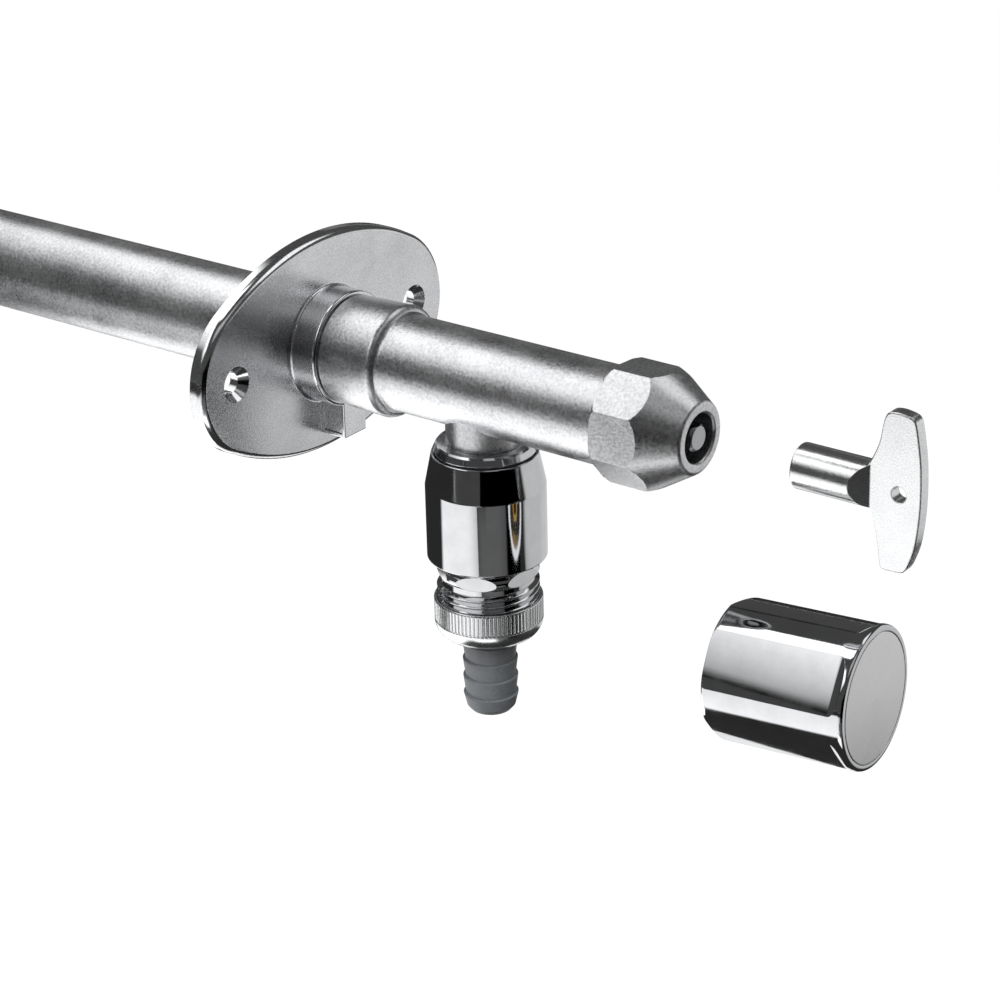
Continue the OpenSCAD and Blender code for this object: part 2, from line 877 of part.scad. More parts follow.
module union_nut() {
    round_r = 4.9;
    dome = union_low - round_r;
    color("silver")
        difference() {
            below(0)
                rotate_extrude()
                    difference() {
                        union() {
                            polygon([[0, union_top], [union_r - 0.5, union_top], [union_r, union_top + 0.5],
                                [union_r, dome], [0, dome]]);
                            translate([union_r - round_r, dome])
                                intersection() {
                                    circle(r = round_r);
                                    square([round_r, round_r]);
                                }
                            translate([0, dome])
                                square([union_r - round_r, round_r]);
                        }
                        polygon([[0, union_top - 1], [hose_r + fit, union_top - 1], [hose_r + fit, adapter_end + 0.6],
                            [flange_r + 0.35, adapter_end + 1.6], [flange_r + 0.35, flange_low + 0.2],
                            [tail_r + 0.07, flange_low + 0.2], [tail_r + 0.07, union_low + 1], [0, union_low + 1]]);
                    }
        }
}

module hose_gasket() {
    color("black")
        below(adapter_end)
            difference() {
                cylinder(h = gasket_h, r = flange_r - 0.1);
                translate([0, 0, -eps])
                    cylinder(h = gasket_h + 2 * eps, r = 5.5);
            }
}

module hose_tail() {
    t = barb_top;
    p = barb_pitch;
    color("dimgray")
        difference() {
            below(0)
                rotate_extrude()
                    polygon([[0, flange_top], [flange_r, flange_top], [flange_r, flange_low],
                        [tail_r, flange_low], [tail_r, union_low + 0.6], [root_r, union_low + 1],
                        [root_r, t], [barb_r - 0.2, t], [barb_r, t + 0.3], [root_r, t + p],
                        [barb_r - 0.2, t + p], [barb_r, t + p + 0.3], [root_r, t + 2 * p],
                        [barb_r - 0.2, t + 2 * p], [barb_r, t + 2 * p + 0.3], [root_r, t + 3 * p],
                        [barb_r - 0.2, t + 3 * p], [barb_r, t + 3 * p + 0.3], [root_r - 0.2, tail_end - 1.2],
                        [root_r - 1.2, tail_end], [0, tail_end]]);
            below(flange_top - eps)
                cylinder(h = tail_end, d = tail_bore_d);
        }
}

wall_flange();
flange_set_screw();
barrel_tube();
valve_body();
seat_body();
bonnet_nut();
bonnet_o_ring();
stem_bush();
stem_packing();
stem_guide();
stem();
valve_head();
seat_washer();
washer_screw();
swivel_pin();
socket_key();
knob_shell();
knob_insert();
knob_cap();
breaker_ring();
breaker_body();
spigot_gasket();
outlet_shroud();
check_poppet();
poppet_ring();
check_spring();
outlet_adapter();
union_nut();
hose_gasket();
hose_tail();
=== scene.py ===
"""Looks of a frost free sillcock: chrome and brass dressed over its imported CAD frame."""

import logging
import math
from dataclasses import dataclass, field
from enum import Enum
from typing import Any, Sequence

import bpy
from mathutils import Matrix, Vector

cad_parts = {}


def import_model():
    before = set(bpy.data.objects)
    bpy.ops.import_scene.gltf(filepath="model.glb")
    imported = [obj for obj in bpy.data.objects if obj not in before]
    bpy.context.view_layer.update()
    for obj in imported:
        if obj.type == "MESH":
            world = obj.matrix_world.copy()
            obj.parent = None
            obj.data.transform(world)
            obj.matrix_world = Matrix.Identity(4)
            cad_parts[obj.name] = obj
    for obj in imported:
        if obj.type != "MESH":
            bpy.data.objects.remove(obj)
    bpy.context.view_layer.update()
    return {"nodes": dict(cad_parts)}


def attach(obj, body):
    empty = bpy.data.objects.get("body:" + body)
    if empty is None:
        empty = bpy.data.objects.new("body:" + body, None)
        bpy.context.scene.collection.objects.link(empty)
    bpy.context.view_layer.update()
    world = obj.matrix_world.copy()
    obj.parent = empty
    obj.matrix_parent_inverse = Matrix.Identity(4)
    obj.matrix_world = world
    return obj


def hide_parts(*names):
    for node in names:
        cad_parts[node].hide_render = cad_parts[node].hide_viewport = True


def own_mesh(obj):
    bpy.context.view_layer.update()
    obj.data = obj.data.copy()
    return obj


Piece = bpy.types.Object
Pairs = Sequence[tuple[float, float]]
Triples = Sequence[tuple[float, float, float]]

MM = 0.001
LOG = logging.getLogger("sillcock")
# The outlet axis's distance ahead of the wall face and the G 3/4 and G 1/2 threads, in mm.
OUTLET_AHEAD = 54.7
THREAD_PITCH = 1.814
THREAD_DEPTH = 1.12
# The points that the reflection cards and the lamps face, in m.
CARD_AIM = Vector((0, -0.06, -0.03))
LAMP_AIM = Vector((0, -0.05, -0.03))
# A buffed rim's roughness, as a share of the blasted face's.
BUFFED = 0.55
# Where a card's fall ends, as a share of its width.
FALL_END = 0.42


class Surface(Enum):
    """How a finish was made, which decides the marks that it carries."""

    BLASTED = "bead blasted, then plated"
    POLISHED = "buffed, then plated"
    TURNED = "turned on a lathe"
    BRUSHED = "brushed in one direction"
    MOULDED = "moulded"


class Lay(Enum):
    """Which way the cutting marks run: they lie across this axis."""

    ALONG_BARREL = (0.0, 1.0, 0.0)
    ACROSS_DISC = (1.0, 0.0, 0.25)
    EVEN = (1.0, 1.0, 1.0)


def paint(code: str) -> tuple[float, float, float, float]:
    """Turns an sRGB hex code into the linear colour that a shader wants.

    Args:
        code: six hex digits after a hash sign.

    Returns:
        Red, green, blue and an alpha of one.
    """
    parts = [int(code[i : i + 2], 16) / 255 for i in (1, 3, 5)]
    red, green, blue = [c / 12.92 if c <= 0.04045 else ((c + 0.055) / 1.055) ** 2.4 for c in parts]
    return (red, green, blue, 1.0)


def add(tree: Any, kind: str, settings: dict, links: dict | None = None) -> Any:
    """Adds one shader node.

    Args:
        tree: the node tree that it joins.
        kind: the node's type.
        settings: properties by their lower-case name, and input values by socket name or number.
        links: source sockets by the input that they feed.

    Returns:
        The new node.
    """
    made = tree.nodes.new(kind)
    for name, value in settings.items():
        if isinstance(name, str) and hasattr(made, name):
            setattr(made, name, value)
        else:
            made.inputs[name].default_value = value
    for name, source in (links or {}).items():
        tree.links.new(source, made.inputs[name])
    return made


def maths(tree: Any, operation: str, *parts: Any) -> Any:
    """Adds one sum.

    Args:
        tree: the node tree that it joins.
        operation: what is done with the parts.
        parts: numbers and sockets, in the order of the node's inputs.

    Returns:
        The result's socket.
    """
    fixed = {k: part for k, part in enumerate(parts) if isinstance(part, float)}
    links = {k: part for k, part in enumerate(parts) if k not in fixed}
    return add(tree, "ShaderNodeMath", {"operation": operation, **fixed}, links).outputs[0]


def remap(tree: Any, value: Any, settings: dict) -> Any:
    """Maps a value onto another range.

    Args:
        tree: the node tree that it joins.
        value: the value's socket.
        settings: the two ranges and the way between them.

    Returns:
        The result's socket.
    """
    return add(tree, "ShaderNodeMapRange", settings, {"Value": value}).outputs[0]


def empty_tree(owner: Any) -> Any:
    """Empties the node tree of a material or world.

    Args:
        owner: the material or world.

    Returns:
        Its node tree.
    """
    owner.use_nodes = True
    owner.node_tree.nodes.clear()
    return owner.node_tree


@dataclass(frozen=True)
class Finish:
    """One surface finish of the tap.

    Args:
        name: what a maker calls it.
        surface: how it was made.
        tone: its colour where it is clean, as sRGB hex.
        shade: its colour in pits and handled patches, as sRGB hex.
        smooth: lowest roughness.
        rough: highest roughness.
        grain: size of its finest marks in mm.
        lift: height of those marks in mm.
        cloud: size of its larger patches in mm.
        metal: whether it is metal.
        lay: which way its marks run.
        edge: radius in mm over which its edges catch the light.
        matt: stretch ahead of the wall in mm that is blasted, with buffed rims outside it.
    """

    name: str
    surface: Surface
    tone: str
    shade: str
    smooth: float
    rough: float
    grain: float
    lift: float
    cloud: float
    metal: bool = True
    lay: Lay = Lay.EVEN
    edge: float = 0.25
    matt: tuple[float, float] | None = None

    def blasted(self, tree: Any, place: Any) -> Any:
        """Marks the stretch that the blasting reaches.

        Args:
            tree: the material's nodes.
            place: the object coordinates.

        Returns:
            A socket that is one on the blasted stretch and zero on the buffed rims.
        """
        depth = add(tree, "ShaderNodeSeparateXYZ", {}, {0: place}).outputs["Y"]
        back, front = self.matt
        past = maths(tree, "LESS_THAN", depth, -back * MM)
        short = maths(tree, "GREATER_THAN", depth, -front * MM)
        return maths(tree, "MULTIPLY", past, short)

    def material(self) -> bpy.types.Material:
        """Builds the finish as a node material, once.

        Returns:
            The material.
        """
        known = bpy.data.materials.get(self.name)
        if known:
            return known
        made = bpy.data.materials.new(self.name)
        made.diffuse_color = paint(self.tone)
        tree = empty_tree(made)
        place = add(tree, "ShaderNodeTexCoord", {}).outputs["Object"]
        runs = add(tree, "ShaderNodeMapping", {"Scale": self.lay.value}, {"Vector": place})
        fine = {"Scale": 1 / (self.grain * MM), "Detail": 4.0, "Roughness": 0.6}
        wide = {"Scale": 1 / (self.cloud * MM), "Detail": 3.0, "Roughness": 0.55, "Distortion": 0.3}
        height, cloud = (
            add(tree, "ShaderNodeTexNoise", settings, {"Vector": source}).outputs["Fac"]
            for settings, source in ((fine, runs.outputs[0]), (wide, place))
        )
        both = maths(tree, "MULTIPLY_ADD", cloud, 0.45, height)
        ends = {"From Min": 0.5, "From Max": 0.95, "To Min": self.smooth, "To Max": self.rough}
        rough = remap(tree, both, ends)
        patch = remap(tree, both, {"From Min": 0.55, "From Max": 0.90})
        if self.matt:
            reached = self.blasted(tree, place)
            gloss = remap(tree, reached, {"To Min": BUFFED, "To Max": 1.0})
            rough = maths(tree, "MULTIPLY", rough, gloss)
            height = maths(tree, "MULTIPLY", height, reached)
        tones = {"data_type": "RGBA", 6: paint(self.shade), 7: paint(self.tone)}
        colour = add(tree, "ShaderNodeMix", tones, {0: patch}).outputs[2]
        # The rounded edge keeps a thin light line where two faces meet, as plating does.
        soft = add(tree, "ShaderNodeBevel", {"samples": 4, "Radius": self.edge * MM})
        depth = {"Strength": 1.0, "Distance": self.lift * MM}
        relief = add(tree, "ShaderNodeBump", depth, {"Height": height, "Normal": soft.outputs[0]})
        shell = add(
            tree,
            "ShaderNodeBsdfPrincipled",
            {"Metallic": 1.0 if self.metal else 0.0},
            {"Base Color": colour, "Roughness": rough, "Normal": relief.outputs[0]},
        )
        add(tree, "ShaderNodeOutputMaterial", {}, {"Surface": shell.outputs[0]})
        return made


# Fine glass-bead blasting under the plating scatters the light into a soft sparkle.
SATIN_CHROME = Finish(
    "bead_blasted_chrome", Surface.BLASTED, "#f4f5f6", "#c2c3c6", 0.27, 0.40, 0.75, 0.060, 14.0
)
# The plate's face is blasted finer than the barrel. Its rim and the collar's lip are buffed.
PLATE_CHROME = Finish(
    "blasted_plate_chrome", Surface.BLASTED, "#f4f5f6", "#d2d3d6", 0.21, 0.30, 0.42, 0.030, 12.0,
    edge=0.15, matt=(4.44, 11.75),
)  # fmt: skip
# Buffed and plated: nearly a mirror, with the faint waviness of hand buffing.
BRIGHT_CHROME = Finish(
    "buffed_chrome", Surface.POLISHED, "#d8d9db", "#cfd0d2", 0.03, 0.08, 5.0, 0.0016, 30.0, edge=0.15
)
# The key is cast, blasted and plated, so its skin is finer and brighter than the tap's.
CAST_CHROME = Finish(
    "cast_chrome", Surface.BLASTED, "#f6f7f7", "#dcdddf", 0.15, 0.24, 0.45, 0.030, 10.0, edge=0.40
)
# The knurl is pressed before plating, so its crests and its grooves take the same finish.
KNURLED_CHROME = Finish(
    "knurled_chrome", Surface.POLISHED, "#ecedee", "#dfe0e1", 0.16, 0.28, 0.60, 0.002, 8.0, edge=0.10
)
# Brushed disc in the knob's end, one even grey that turns with the light.
SATIN_DISC = Finish(
    "brushed_chrome_disc", Surface.BRUSHED, "#f0f0f1", "#e2e2e4", 0.25, 0.36, 0.12, 0.004, 9.0,
    lay=Lay.ACROSS_DISC,
)  # fmt: skip
# Machined brass keeps the tool's feed lines round the barrel's axis, and so does the steel.
BRASS = Finish(
    "turned_brass", Surface.TURNED, "#c9a65a", "#a98342", 0.20, 0.36, 0.22, 0.006, 9.0,
    lay=Lay.ALONG_BARREL,
)  # fmt: skip
STAINLESS = Finish(
    "stainless_steel", Surface.TURNED, "#c6c7c9", "#a9abae", 0.18, 0.34, 0.18, 0.004, 12.0,
    lay=Lay.ALONG_BARREL,
)  # fmt: skip
RUBBER = Finish(
    "black_rubber", Surface.MOULDED, "#242526", "#313233", 0.50, 0.72, 0.35, 0.006, 6.0, metal=False
)
WHITE_PLASTIC = Finish(
    "white_acetal", Surface.MOULDED, "#e8e6df", "#d9d6cc", 0.38, 0.55, 0.40, 0.003, 12.0, metal=False
)
# Glass-filled nylon has a fine matt bloom in two close greys.
GREY_PLASTIC = Finish(
    "dark_grey_nylon", Surface.MOULDED, "#6c6f72", "#575a5d", 0.36, 0.55, 0.30, 0.006, 7.0, metal=False
)


@dataclass(frozen=True)
class Card:
    """One reflection card.

    Args:
        name: the card's name.
        turn: degrees from the camera towards the picture's right.
        rise: degrees above the horizon.
        width: its width in m.
        height: its height in m.
        foot: how bright its lower edge is.
        head: how bright its upper edge is.
        reach: distance from the tap in m.
        soft: share of its width and height over which its edges fade out.
        fall: brightness at its UV map's left edge, as a share of the rest's.
    """

    name: str
    turn: float
    rise: float
    width: float
    height: float
    foot: float
    head: float
    reach: float = 0.6
    soft: float = 0.0
    fall: float = 1.0


@dataclass
class Studio:
    """Floor, reflection cards, lamps and the camera that took the photograph.

    Args:
        floor_z: height of the floor in m.
        floor_half: half the floor's side in m.
        eye: the camera's place in m.
        aim: the direction in which it looks.
        roll: its roll in degrees.
        lens: its focal length in mm.
    """

    floor_z: float = -0.45
    floor_half: float = 6.0
    eye: tuple[float, float, float] = (-0.56348, -0.49284, 0.28467)
    aim: tuple[float, float, float] = (0.72430, 0.55752, -0.40566)
    roll: float = -1.43
    lens: float = 111.17

    def lay_floor(self) -> None:
        """Lays a pale floor that reads as white and keeps a faint shadow."""
        bpy.ops.mesh.primitive_plane_add(size=2 * self.floor_half, location=(0, 0, self.floor_z))
        floor = bpy.context.object
        floor.name = "studio_floor"
        made = bpy.data.materials.new("pale_floor")
        tree = empty_tree(made)
        ray = add(tree, "ShaderNodeLightPath", {}).outputs
        seen = maths(tree, "MAXIMUM", ray["Is Camera Ray"], ray["Is Glossy Ray"])
        through = maths(tree, "MAXIMUM", seen, ray["Is Transmission Ray"])
        dull = add(tree, "ShaderNodeBsdfDiffuse", {"Color": paint("#ececec")})
        faint = add(tree, "ShaderNodeBsdfDiffuse", {"Color": paint("#5a5a5a")})
        glow = add(tree, "ShaderNodeEmission", {"Color": (1, 1, 1, 1), "Strength": 1.0})
        white = add(tree, "ShaderNodeAddShader", {}, {0: faint.outputs[0], 1: glow.outputs[0]})
        shaders = {0: through, 1: dull.outputs[0], 2: white.outputs[0]}
        mix = add(tree, "ShaderNodeMixShader", {}, shaders)
        add(tree, "ShaderNodeOutputMaterial", {}, {"Surface": mix.outputs[0]})
        floor.data.materials.append(made)

    def hang_card(self, card: Card) -> None:
        """Hangs one card round the tap, which only its reflections show.

        Args:
            card: the card's place, size and brightness.
        """
        front = Vector((-self.aim[0], -self.aim[1], 0)).normalized()
        right = Vector((-front.y, front.x, 0))
        a, e = math.radians(card.turn), math.radians(card.rise)
        ray = (front * math.cos(a) + right * math.sin(a)) * math.cos(e) + Vector((0, 0, math.sin(e)))
        bpy.ops.mesh.primitive_plane_add(size=1.0)
        sheet = bpy.context.object
        sheet.name = card.name
        facing = (-ray).to_track_quat("Z", "Y").to_matrix().to_4x4()
        spot = CARD_AIM + ray * card.reach
        stretch = Matrix.Diagonal((card.width, card.height, 1, 1))
        sheet.data.transform(Matrix.Translation(spot) @ facing @ stretch)
        made = bpy.data.materials.new(card.name + "_paper")
        tree = empty_tree(made)
        across = add(tree, "ShaderNodeTexCoord", {}).outputs["UV"]
        place = add(tree, "ShaderNodeSeparateXYZ", {}, {0: across}).outputs
        middle = {"operation": "SUBTRACT", 1: (0.5, 0.5, 0.5)}
        from_mid = add(tree, "ShaderNodeVectorMath", middle, {0: across})
        away = add(tree, "ShaderNodeVectorMath", {"operation": "ABSOLUTE"}, {0: from_mid.outputs[0]})
        sides = add(tree, "ShaderNodeSeparateXYZ", {}, {0: away.outputs[0]}).outputs
        fade = remap(tree, place["Y"], {"To Min": card.foot, "To Max": card.head})
        smooth = {"interpolation_type": "SMOOTHSTEP"}
        step = {**smooth, "From Max": FALL_END, "To Min": card.fall, "To Max": 1.0}
        level = maths(tree, "MULTIPLY", fade, remap(tree, place["X"], step))
        rim = {"From Min": 0.5 - card.soft - 0.001, "From Max": 0.5}
        rim |= {"To Min": 1.0, "To Max": 0.0 if card.soft else 1.0}
        for axis in ("X", "Y"):
            level = maths(tree, "MULTIPLY", level, remap(tree, sides[axis], smooth | rim))
        glow = add(tree, "ShaderNodeEmission", {"Color": (1, 1, 1, 1)}, {"Strength": level})
        add(tree, "ShaderNodeOutputMaterial", {}, {"Surface": glow.outputs[0]})
        sheet.data.materials.append(made)
        sheet.visible_camera = False
        sheet.visible_shadow = False

    def hang_lamp(
        self, name: str, spot: Sequence[float], size: tuple[float, float], power: float
    ) -> Piece:
        """Hangs one soft box that points at the tap.

        Args:
            name: the lamp's name.
            spot: its place in m.
            size: width and height in m.
            power: its power in W.

        Returns:
            The lamp.
        """
        data = bpy.data.lights.new(name, "AREA")
        data.shape = "RECTANGLE"
        data.size, data.size_y = size
        data.energy = power
        lamp = bpy.data.objects.new(name, data)
        bpy.context.collection.objects.link(lamp)
        lamp.location = spot
        lamp.rotation_mode = "QUATERNION"
        lamp.rotation_quaternion = (LAMP_AIM - Vector(spot)).to_track_quat("-Z", "Y")
        return lamp

    def light(self) -> None:
        """Sets the world's dim fill and the soft boxes."""
        world = bpy.data.worlds.new("studio_world")
        bpy.context.scene.world = world
        tree = empty_tree(world)
        ray = add(tree, "ShaderNodeLightPath", {}).outputs
        level = remap(tree, ray["Is Camera Ray"], {"To Min": 0.07, "To Max": 1.0})
        sky = add(tree, "ShaderNodeBackground", {"Color": (1, 1, 1, 1)}, {"Strength": level})
        add(tree, "ShaderNodeOutputWorld", {}, {"Surface": sky.outputs[0]})
        fill = self.hang_lamp("front_fill_box", (-0.9, -0.55, 1.0), (0.9, 0.9), 27.0)
        fill.visible_glossy = False
        self.hang_lamp("top_soft_box", (-0.05, 0.42, 0.80), (0.30, 0.9), 1.6)

    def stand_camera(self) -> None:
        """Stands the camera where the photograph was taken."""
        data = bpy.data.cameras.new("photo_camera")
        data.lens = self.lens
        data.sensor_width = 36.0
        data.sensor_fit = "HORIZONTAL"
        data.clip_start, data.clip_end = 0.02, 40.0
        camera = bpy.data.objects.new("photo_camera", data)
        bpy.context.collection.objects.link(camera)
        look = Vector(self.aim).normalized()
        right = look.cross(Vector((0, 0, 1))).normalized()
        top = right.cross(look)
        c, s = math.cos(math.radians(self.roll)), math.sin(math.radians(self.roll))
        x_axis, y_axis, z_axis = right * c + top * s, top * c - right * s, -look
        turn = Matrix((x_axis, y_axis, z_axis)).transposed().to_4x4()
        camera.matrix_world = Matrix.Translation(self.eye) @ turn
        bpy.context.scene.camera = camera

    def build(self) -> None:
        """Builds the whole studio."""
        bpy.context.scene.view_settings.view_transform = "Standard"
        self.lay_floor()
        for card in (
            Card("dark_table", 0, -90, 10, 10, 0.03, 0.03, 0.36),
            Card("top_white_sheet", -97, 46, 1.24, 0.36, 0.40, 2.2, soft=0.12),
            Card("left_white_sill", -49, -30, 0.78, 0.28, 1.40, 1.15, 0.42, 0.11, 0.16),
            Card("front_left_grey_sill", 15, -32, 0.34, 0.26, 0.16, 0.13, 0.44, 0.10, 0.7),
            Card("back_left_white_sill", -110, -48, 0.54, 0.20, 2.0, 1.4, 0.38),
            Card("under_back_white_sill", -165, -60, 0.34, 0.12, 1.1, 1.1, 0.36),
            Card("front_white_sill", -10, -46, 0.34, 0.14, 1.7, 1.7, 0.42, 0.2),
            Card("front_grey_sill", -2, -26, 0.44, 0.09, 0.14, 0.14, 0.46, 0.4),
            Card("front_black_flag", 18, 0, 0.62, 0.26, 0.0, 0.0, 0.55),
            Card("front_top_grey_sheet", 25, 57, 0.46, 0.34, 0.5, 0.5, soft=0.2),
            Card("top_right_white_sheet", 108, 57, 0.50, 0.34, 1.2, 1.2, soft=0.2),
            Card("right_grey_wall", 108, -6, 0.96, 0.72, 0.62, 0.80, 0.66, 0.15),
            Card("back_grey_wall", 178, 14, 0.60, 0.16, 0.18, 0.18, soft=0.2),
            Card("back_right_grey_wall", 150, -24, 0.50, 0.28, 0.7, 0.7),
            Card("front_right_black_flag", 48, -20, 0.26, 0.40, 0.0, 0.0, 0.5),
        ):
            self.hang_card(card)
        self.light()
        self.stand_camera()


def eased(points: Triples, parts: int = 5) -> list[tuple[float, float]]:
    """Rounds the corners of a lathe profile.

    Args:
        points: radius, height and corner radius in mm, in order round the closed profile.
        parts: how many steps each rounded corner takes.

    Returns:
        Radius and height of every point of the rounded profile.
    """
    made: list[tuple[float, float]] = []
    count = len(points)
    for k, (radius, height, ease) in enumerate(points):
        if not ease:
            made.append((radius, height))
            continue
        here = Vector((radius, height))
        before = Vector(points[k - 1][:2]) - here
        after = Vector(points[(k + 1) % count][:2]) - here
        start = here + before.normalized() * min(ease, before.length * 0.49)
        end = here + after.normalized() * min(ease, after.length * 0.49)
        for step in range(parts + 1):
            t = step / parts
            spot = start * (1 - t) ** 2 + here * 2 * t * (1 - t) + end * t * t
            made.append((spot.x, spot.y))
    return made


def pick(piece: Piece) -> None:
    """Selects one piece alone and makes it active.

    Args:
        piece: the piece.
    """
    bpy.ops.object.select_all(action="DESELECT")
    bpy.context.view_layer.objects.active = piece
    piece.select_set(True)


def open_mesh() -> None:
    """Goes into edit mode with the whole mesh selected."""
    bpy.ops.object.mode_set(mode="EDIT")
    bpy.ops.mesh.select_all(action="SELECT")


def close_mesh() -> None:
    """Goes back to object mode."""
    bpy.ops.object.mode_set(mode="OBJECT")


def modify(piece: Piece, kind: str, **settings: Any) -> None:
    """Gives the active piece a modifier and applies it.

    Args:
        piece: the active piece.
        kind: the modifier's type.
        settings: the modifier's settings.
    """
    bpy.ops.object.modifier_add(type=kind)
    added = piece.modifiers[-1]
    for name, value in settings.items():
        setattr(added, name, value)
    bpy.ops.object.modifier_apply(modifier=added.name)


def trace(name: str, spots: Triples, fill: str = "NOTHING") -> Piece:
    """Draws a closed outline.

    Args:
        name: the outline's name.
        spots: its points in mm, in order.
        fill: NOTHING for an open ring, NGON for a face.

    Returns:
        The outline, selected and active.
    """
    bpy.ops.object.select_all(action="DESELECT")
    bpy.ops.mesh.primitive_circle_add(vertices=len(spots), radius=MM, fill_type=fill)
    drawn = bpy.context.object
    drawn.name = name
    for v, spot in zip(drawn.data.vertices, spots):
        v.co = tuple(part * MM for part in spot)
    return drawn


def shift(x: float, y: float, z: float) -> Matrix:
    """Gives a move.

    Args:
        x: how far along X in mm.
        y: how far along Y in mm.
        z: how far along Z in mm.

    Returns:
        The matrix.
    """
    return Matrix.Translation((x * MM, y * MM, z * MM))


def spin(angle: float, axis: str) -> Matrix:
    """Gives a turn round the origin.

    Args:
        angle: the angle in degrees.
        axis: X, Y or Z.

    Returns:
        The matrix.
    """
    return Matrix.Rotation(math.radians(angle), 4, axis)


def close_up(piece: Piece) -> None:
    """Merges a piece's doubled points and turns its faces outwards.

    Args:
        piece: the piece, in object mode. It ends up selected and active.
    """
    pick(piece)
    open_mesh()
    bpy.ops.mesh.remove_doubles(threshold=1e-6)
    bpy.ops.mesh.normals_make_consistent(inside=False)
    close_mesh()


def finish_mesh(piece: Piece, angle: float) -> None:
    """Closes a piece up and shades its curved faces smooth.

    Args:
        piece: the piece, in object mode.
        angle: edges sharper than this many degrees stay crisp.
    """
    close_up(piece)
    bpy.ops.object.shade_smooth_by_angle(angle=math.radians(angle))
    modify(piece, "WEIGHTED_NORMAL", keep_sharp=True)


def coat(
    piece: Piece, finish: Finish, angle: float, place: Matrix | None = None
) -> Piece:
    """Finishes a piece's mesh, puts it in place and gives it its finish.

    Args:
        piece: the piece, in object mode.
        finish: its finish.
        angle: edges sharper than this many degrees stay crisp.
        place: where it goes, or None to leave it where it is.

    Returns:
        The piece.
    """
    finish_mesh(piece, angle)
    if place is not None:
        piece.data.transform(place)
    piece.data.materials.clear()
    piece.data.materials.append(finish.material())
    return piece


def turn_piece(name: str, profile: Pairs, sides: int) -> Piece:
    """Turns a closed profile round the Z axis, one ring at a time, as a lathe would.

    Args:
        name: the piece's name.
        profile: radius and height in mm, in order round the closed profile.
        sides: faces round the axis.

    Returns:
        The turned piece.
    """
    bpy.ops.object.select_all(action="DESELECT")
    radius, height = profile[0]
    bpy.ops.mesh.primitive_circle_add(
        vertices=sides, radius=radius * MM, fill_type="NOTHING", location=(0, 0, height * MM)
    )
    piece = bpy.context.object
    piece.name = name
    bpy.ops.object.transform_apply(location=True, rotation=False, scale=False)
    open_mesh()
    for wide, high in [*profile[1:], profile[0]]:
        bpy.ops.mesh.extrude_edges_move(
            TRANSFORM_OT_translate={"value": (0, 0, (high - height) * MM)}
        )
        bpy.ops.transform.resize(
            value=(wide / radius, wide / radius, 1), center_override=(0, 0, high * MM)
        )
        radius, height = wide, high
    close_mesh()
    return piece


def cut_knurl(piece: Piece, low: float, high: float, sides: int, depth: float) -> None:
    """Presses straight grooves into a turned band, one side in every four.

    Args:
        piece: the turned piece.
        low: lower end of the band in mm.
        high: upper end of the band in mm.
        sides: faces round the axis.
        depth: depth of a groove as a share of the radius.
    """
    pick(piece)
    bpy.ops.object.mode_set(mode="EDIT")
    bpy.ops.mesh.select_all(action="DESELECT")
    close_mesh()
    reach = max(math.hypot(v.co.x, v.co.y) for v in piece.data.vertices)
    for v in piece.data.vertices:
        turn = round(math.atan2(v.co.y, v.co.x) / math.tau * sides) % 4
        outside = math.hypot(v.co.x, v.co.y) > reach * 0.985
        v.select = outside and low * MM <= v.co.z <= high * MM and turn == 0
    bpy.ops.object.mode_set(mode="EDIT")
    bpy.ops.transform.resize(value=(1 - depth, 1 - depth, 1), center_override=(0, 0, 0))
    close_mesh()


def wind_ridge(
    name: str, outline: Pairs, pitch: float, turns: int, sides: int
) -> Piece:
    """Winds a small closed outline round the Z axis as a screw thread or a spring's wire.

    Args:
        name: the ridge's name.
        outline: radius and height in mm of the outline's points.
        pitch: rise in mm for each turn.
        turns: how many turns.
        sides: steps in each turn.

    Returns:
        The wound ridge with closed ends.
    """
    ridge = trace(name, [(radius, 0, height) for radius, height in outline])
    modify(
        ridge,
        "SCREW",
        screw_offset=pitch * MM,
        iterations=turns,
        steps=sides,
        render_steps=sides,
        use_merge_vertices=False,
    )
    open_mesh()
    bpy.ops.mesh.fill_holes(sides=len(outline))
    close_mesh()
    return ridge


def thread_outline(root: float, crest: float, pitch: float) -> list[tuple[float, float]]:
    """Gives the outline of a Whitworth pipe thread with its rounded crest.

    Args:
        root: radius at the root in mm.
        crest: radius at the crest in mm.
        pitch: distance between crests in mm.

    Returns:
        Radius and height of the outline's points, crest at height zero.
    """
    rise = crest - root
    half = [(root - 0.15, 0.5), (root, 0.47), (root + rise * 0.2, 0.38), (root + rise * 0.8, 0.16)]
    half.append((crest, 0.06))
    upper = [(r, h * pitch) for r, h in half]
    return upper + [(r, -h) for r, h in reversed(upper)]


def join(core: Piece, *others: Piece) -> None:
    """Joins pieces into one.

    Args:
        core: the piece that keeps its name.
        others: the pieces that go into it.
    """
    pick(core)
    for piece in others:
        piece.select_set(True)
    bpy.ops.object.join()


def shave(piece: Piece, spot: Sequence[float], outward: Sequence[float]) -> None:
    """Mills off all that stands outside a plane and closes the cut.

    Args:
        piece: the piece to cut, in object mode.
        spot: a point of the plane in mm.
        outward: the direction that is cut away.
    """
    pick(piece)
    open_mesh()
    bpy.ops.mesh.bisect(
        plane_co=Vector(spot) * MM, plane_no=Vector(outward), use_fill=True, clear_outer=True
    )
    close_mesh()


